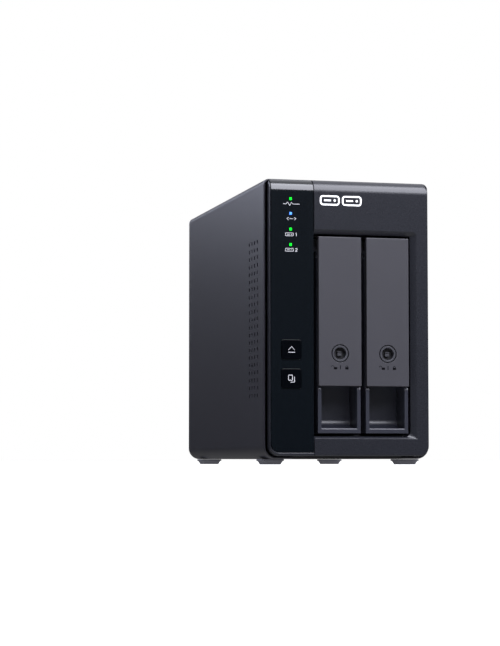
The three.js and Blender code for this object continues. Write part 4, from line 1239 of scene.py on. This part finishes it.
def build_usb():
    x, (front, rear), z = span("usb_port")
    cx, cz = middle("usb_port")
    wall = USB["wall"]
    shell = prism_y("usb_shell", rounded(x, z, USB["corner"]), (front, rear))
    inside = rounded(grown(x, -wall), grown(z, -wall), USB["corner"] - wall)
    cut(shell, prism_y("mouth", inside, (rear - USB["deep"], rear + 1)))
    soften(shell, 0.1)
    finish_piece(shell, "plated", "chassis", "plated_steel", "usb_port")
    tongue = block("usb_tongue", about(cx, 0.35), (rear - 7, rear - 0.8), about(cz, 3.3))
    soften(tongue, 0.1)
    finish_piece(tongue, "port", "chassis", "chip_black")
    contacts = []
    for i in range(USB["contacts"]):
        level = cz + USB["first"] + i * USB["pitch"]
        contacts.append(block("contact", about(cx, 0.39), (rear - 6, rear - 1.4), about(level, 0.13)))
    finish_piece(merge("usb_contacts", contacts), "gold", "chassis", "plated_steel")


def build_power_jack():
    x, (front, rear), z = span("power_jack")
    cx, cz = middle("power_jack")
    jack = prism_y("power_socket", rounded(x, z, 0.8), (front, rear))
    past = rear + 0.01
    bore = [(0, rear - 9.5), (3.1, rear - 9.5), (3.1, rear - 0.4), (3.5, past), (0, past)]
    cut(jack, turned("bore", bore, cx, cz, 48))
    soften(jack, 0.2)
    finish_piece(jack, "black", "chassis", "black_plastic", "power_jack")
    profile = [(0, rear - 10), (1.05, rear - 10), (1.05, rear - 1.5), (0.7, rear - 1), (0, rear - 1)]
    pin = turned("socket_pin", profile, cx, cz)
    soften(pin, 0)
    finish_piece(pin, "plated", "chassis", "plated_steel")


def build_power_button():
    _, (front, rear), _ = span("power_button")
    rim = [(0, front), (3.1, front), (3.1, rear - 0.5), (2.9, rear - 0.1), (2.4, rear)]
    dished = [(1.2, rear - 0.15), (0, rear - 0.2)]
    knob = turned("power_cap", rim + dished, *middle("power_button"), 48)
    soften(knob, 0)
    finish_piece(knob, "button", "power_button", "button_black", "power_button")


def build_dip():
    x, (front, rear), z = span("dip_switch_body")
    cx, _ = middle("dip_switch_body")
    body = block("dip_body", x, (front, rear), z, 0.3)
    deep = (rear - 2.2, rear + 1)
    slots = [block("slot", about(cx, 2.2), deep, about(middle(node)[1], 0.95)) for node in DIP_LEVERS]
    cut(body, merge("slots", slots))
    soften(body, 0.12)
    finish_piece(body, "dip", "chassis", "dip_blue", "dip_switch_body")
    for n, node in enumerate(DIP_LEVERS, 1):
        lever = block(f"dip_toggle_{n}", *span(node))
        soften(lever, 0.2, 3)
        finish_piece(lever, "dip_lever", node, "dip_white", node)


# ---- inside ----
FINS = {"count": 7, "pitch": 3.73, "thick": 1.3}
CAN = [(0, 0), (2.9, 0), (3.1, 0.4), (3.1, 7), (0, 7)]
CAN_PITCH = 8
KEPT = {
    "cage": ("base_plate", "cage_left_sheet", "cage_divider", "cage_right_sheet"),
    "board": ("front_board", "main_board", "backplane_board", "drive_1_board", "drive_2_board"),
    "chip": ("eject_switch", "copy_switch", "sata_connector_1", "sata_connector_2", "controller_chip"),
    "ribbon": ("front_ribbon",),
    "plated": ("tray_1_hinge_pin", "tray_2_hinge_pin"),
    "black": ("upper_guide", "lower_guide", "fan_cable")
    + tuple(f"tray_{n}_{end}_clip" for n in TRAYS for end in ("lower", "upper")),
}


def build_heatsink():
    (x0, x1), (y0, y1), z = span("heatsink")
    base = block("finned_heatsink", (x1 - 2.5, x1), (y0, y1), z)
    starts = [y0 + i * FINS["pitch"] for i in range(FINS["count"])]
    weld(base, *[block("fin", (x0, x1 - 2), (y, y + FINS["thick"]), z) for y in starts])
    soften(base, 0.2, 1)
    finish_piece(base, "cast", "chassis", "cast_aluminium", "heatsink")


def build_main_board_parts():
    (x, _), (y, _), (z, _) = span("main_board")
    spots = [
        (y + 25, z + 20, 5, 5),
        (y + 45, z + 30, 3, 4),
        (y + 110, z + 90, 6, 4),
        (y + 130, z + 25, 4, 8),
    ]
    build_chips("main_board_chips", (x - 1.4, x + 0.1), spots, "chassis")
    cans = []
    for i in range(4):
        at = (x - 7, y + 140 + (i % 2) * CAN_PITCH, z + 50 + (i // 2) * CAN_PITCH)
        cans.append(place(turned("can", CAN, 0, 0, 32), -90, "Z", at))
    made = merge("capacitors", cans)
    soften(made, 0)
    finish_piece(made, "cast", "chassis", "cast_aluminium")


def finish_kept_nodes():
    """The CAD nodes that stay: rounded edges and a procedural material."""
    for look, nodes in KEPT.items():
        for node in nodes:
            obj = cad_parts[node]
            wear(obj, look)
            join_points = obj.modifiers.new("join_points", "WELD")
            join_points.merge_threshold = 0.005 * MM
            add_bevel(obj, 0.15, 2, 50)


build_camera()
build_studio()
build_cover()
build_bezel()
build_status_panel()
build_lamps()
build_panel_signs()
build_front_mark()
build_panel_buttons()
for tray in TRAYS:
    build_tray_frame(tray)
    build_tray_handle(tray)
    build_lock(tray)
    build_drive(tray)
build_feet()
build_rear()
build_guard()
build_fan_housing()
build_fan_rotor()
build_cover_screws()
build_usb()
build_power_jack()
build_power_button()
build_dip()
build_heatsink()
build_main_board_parts()
finish_kept_nodes()
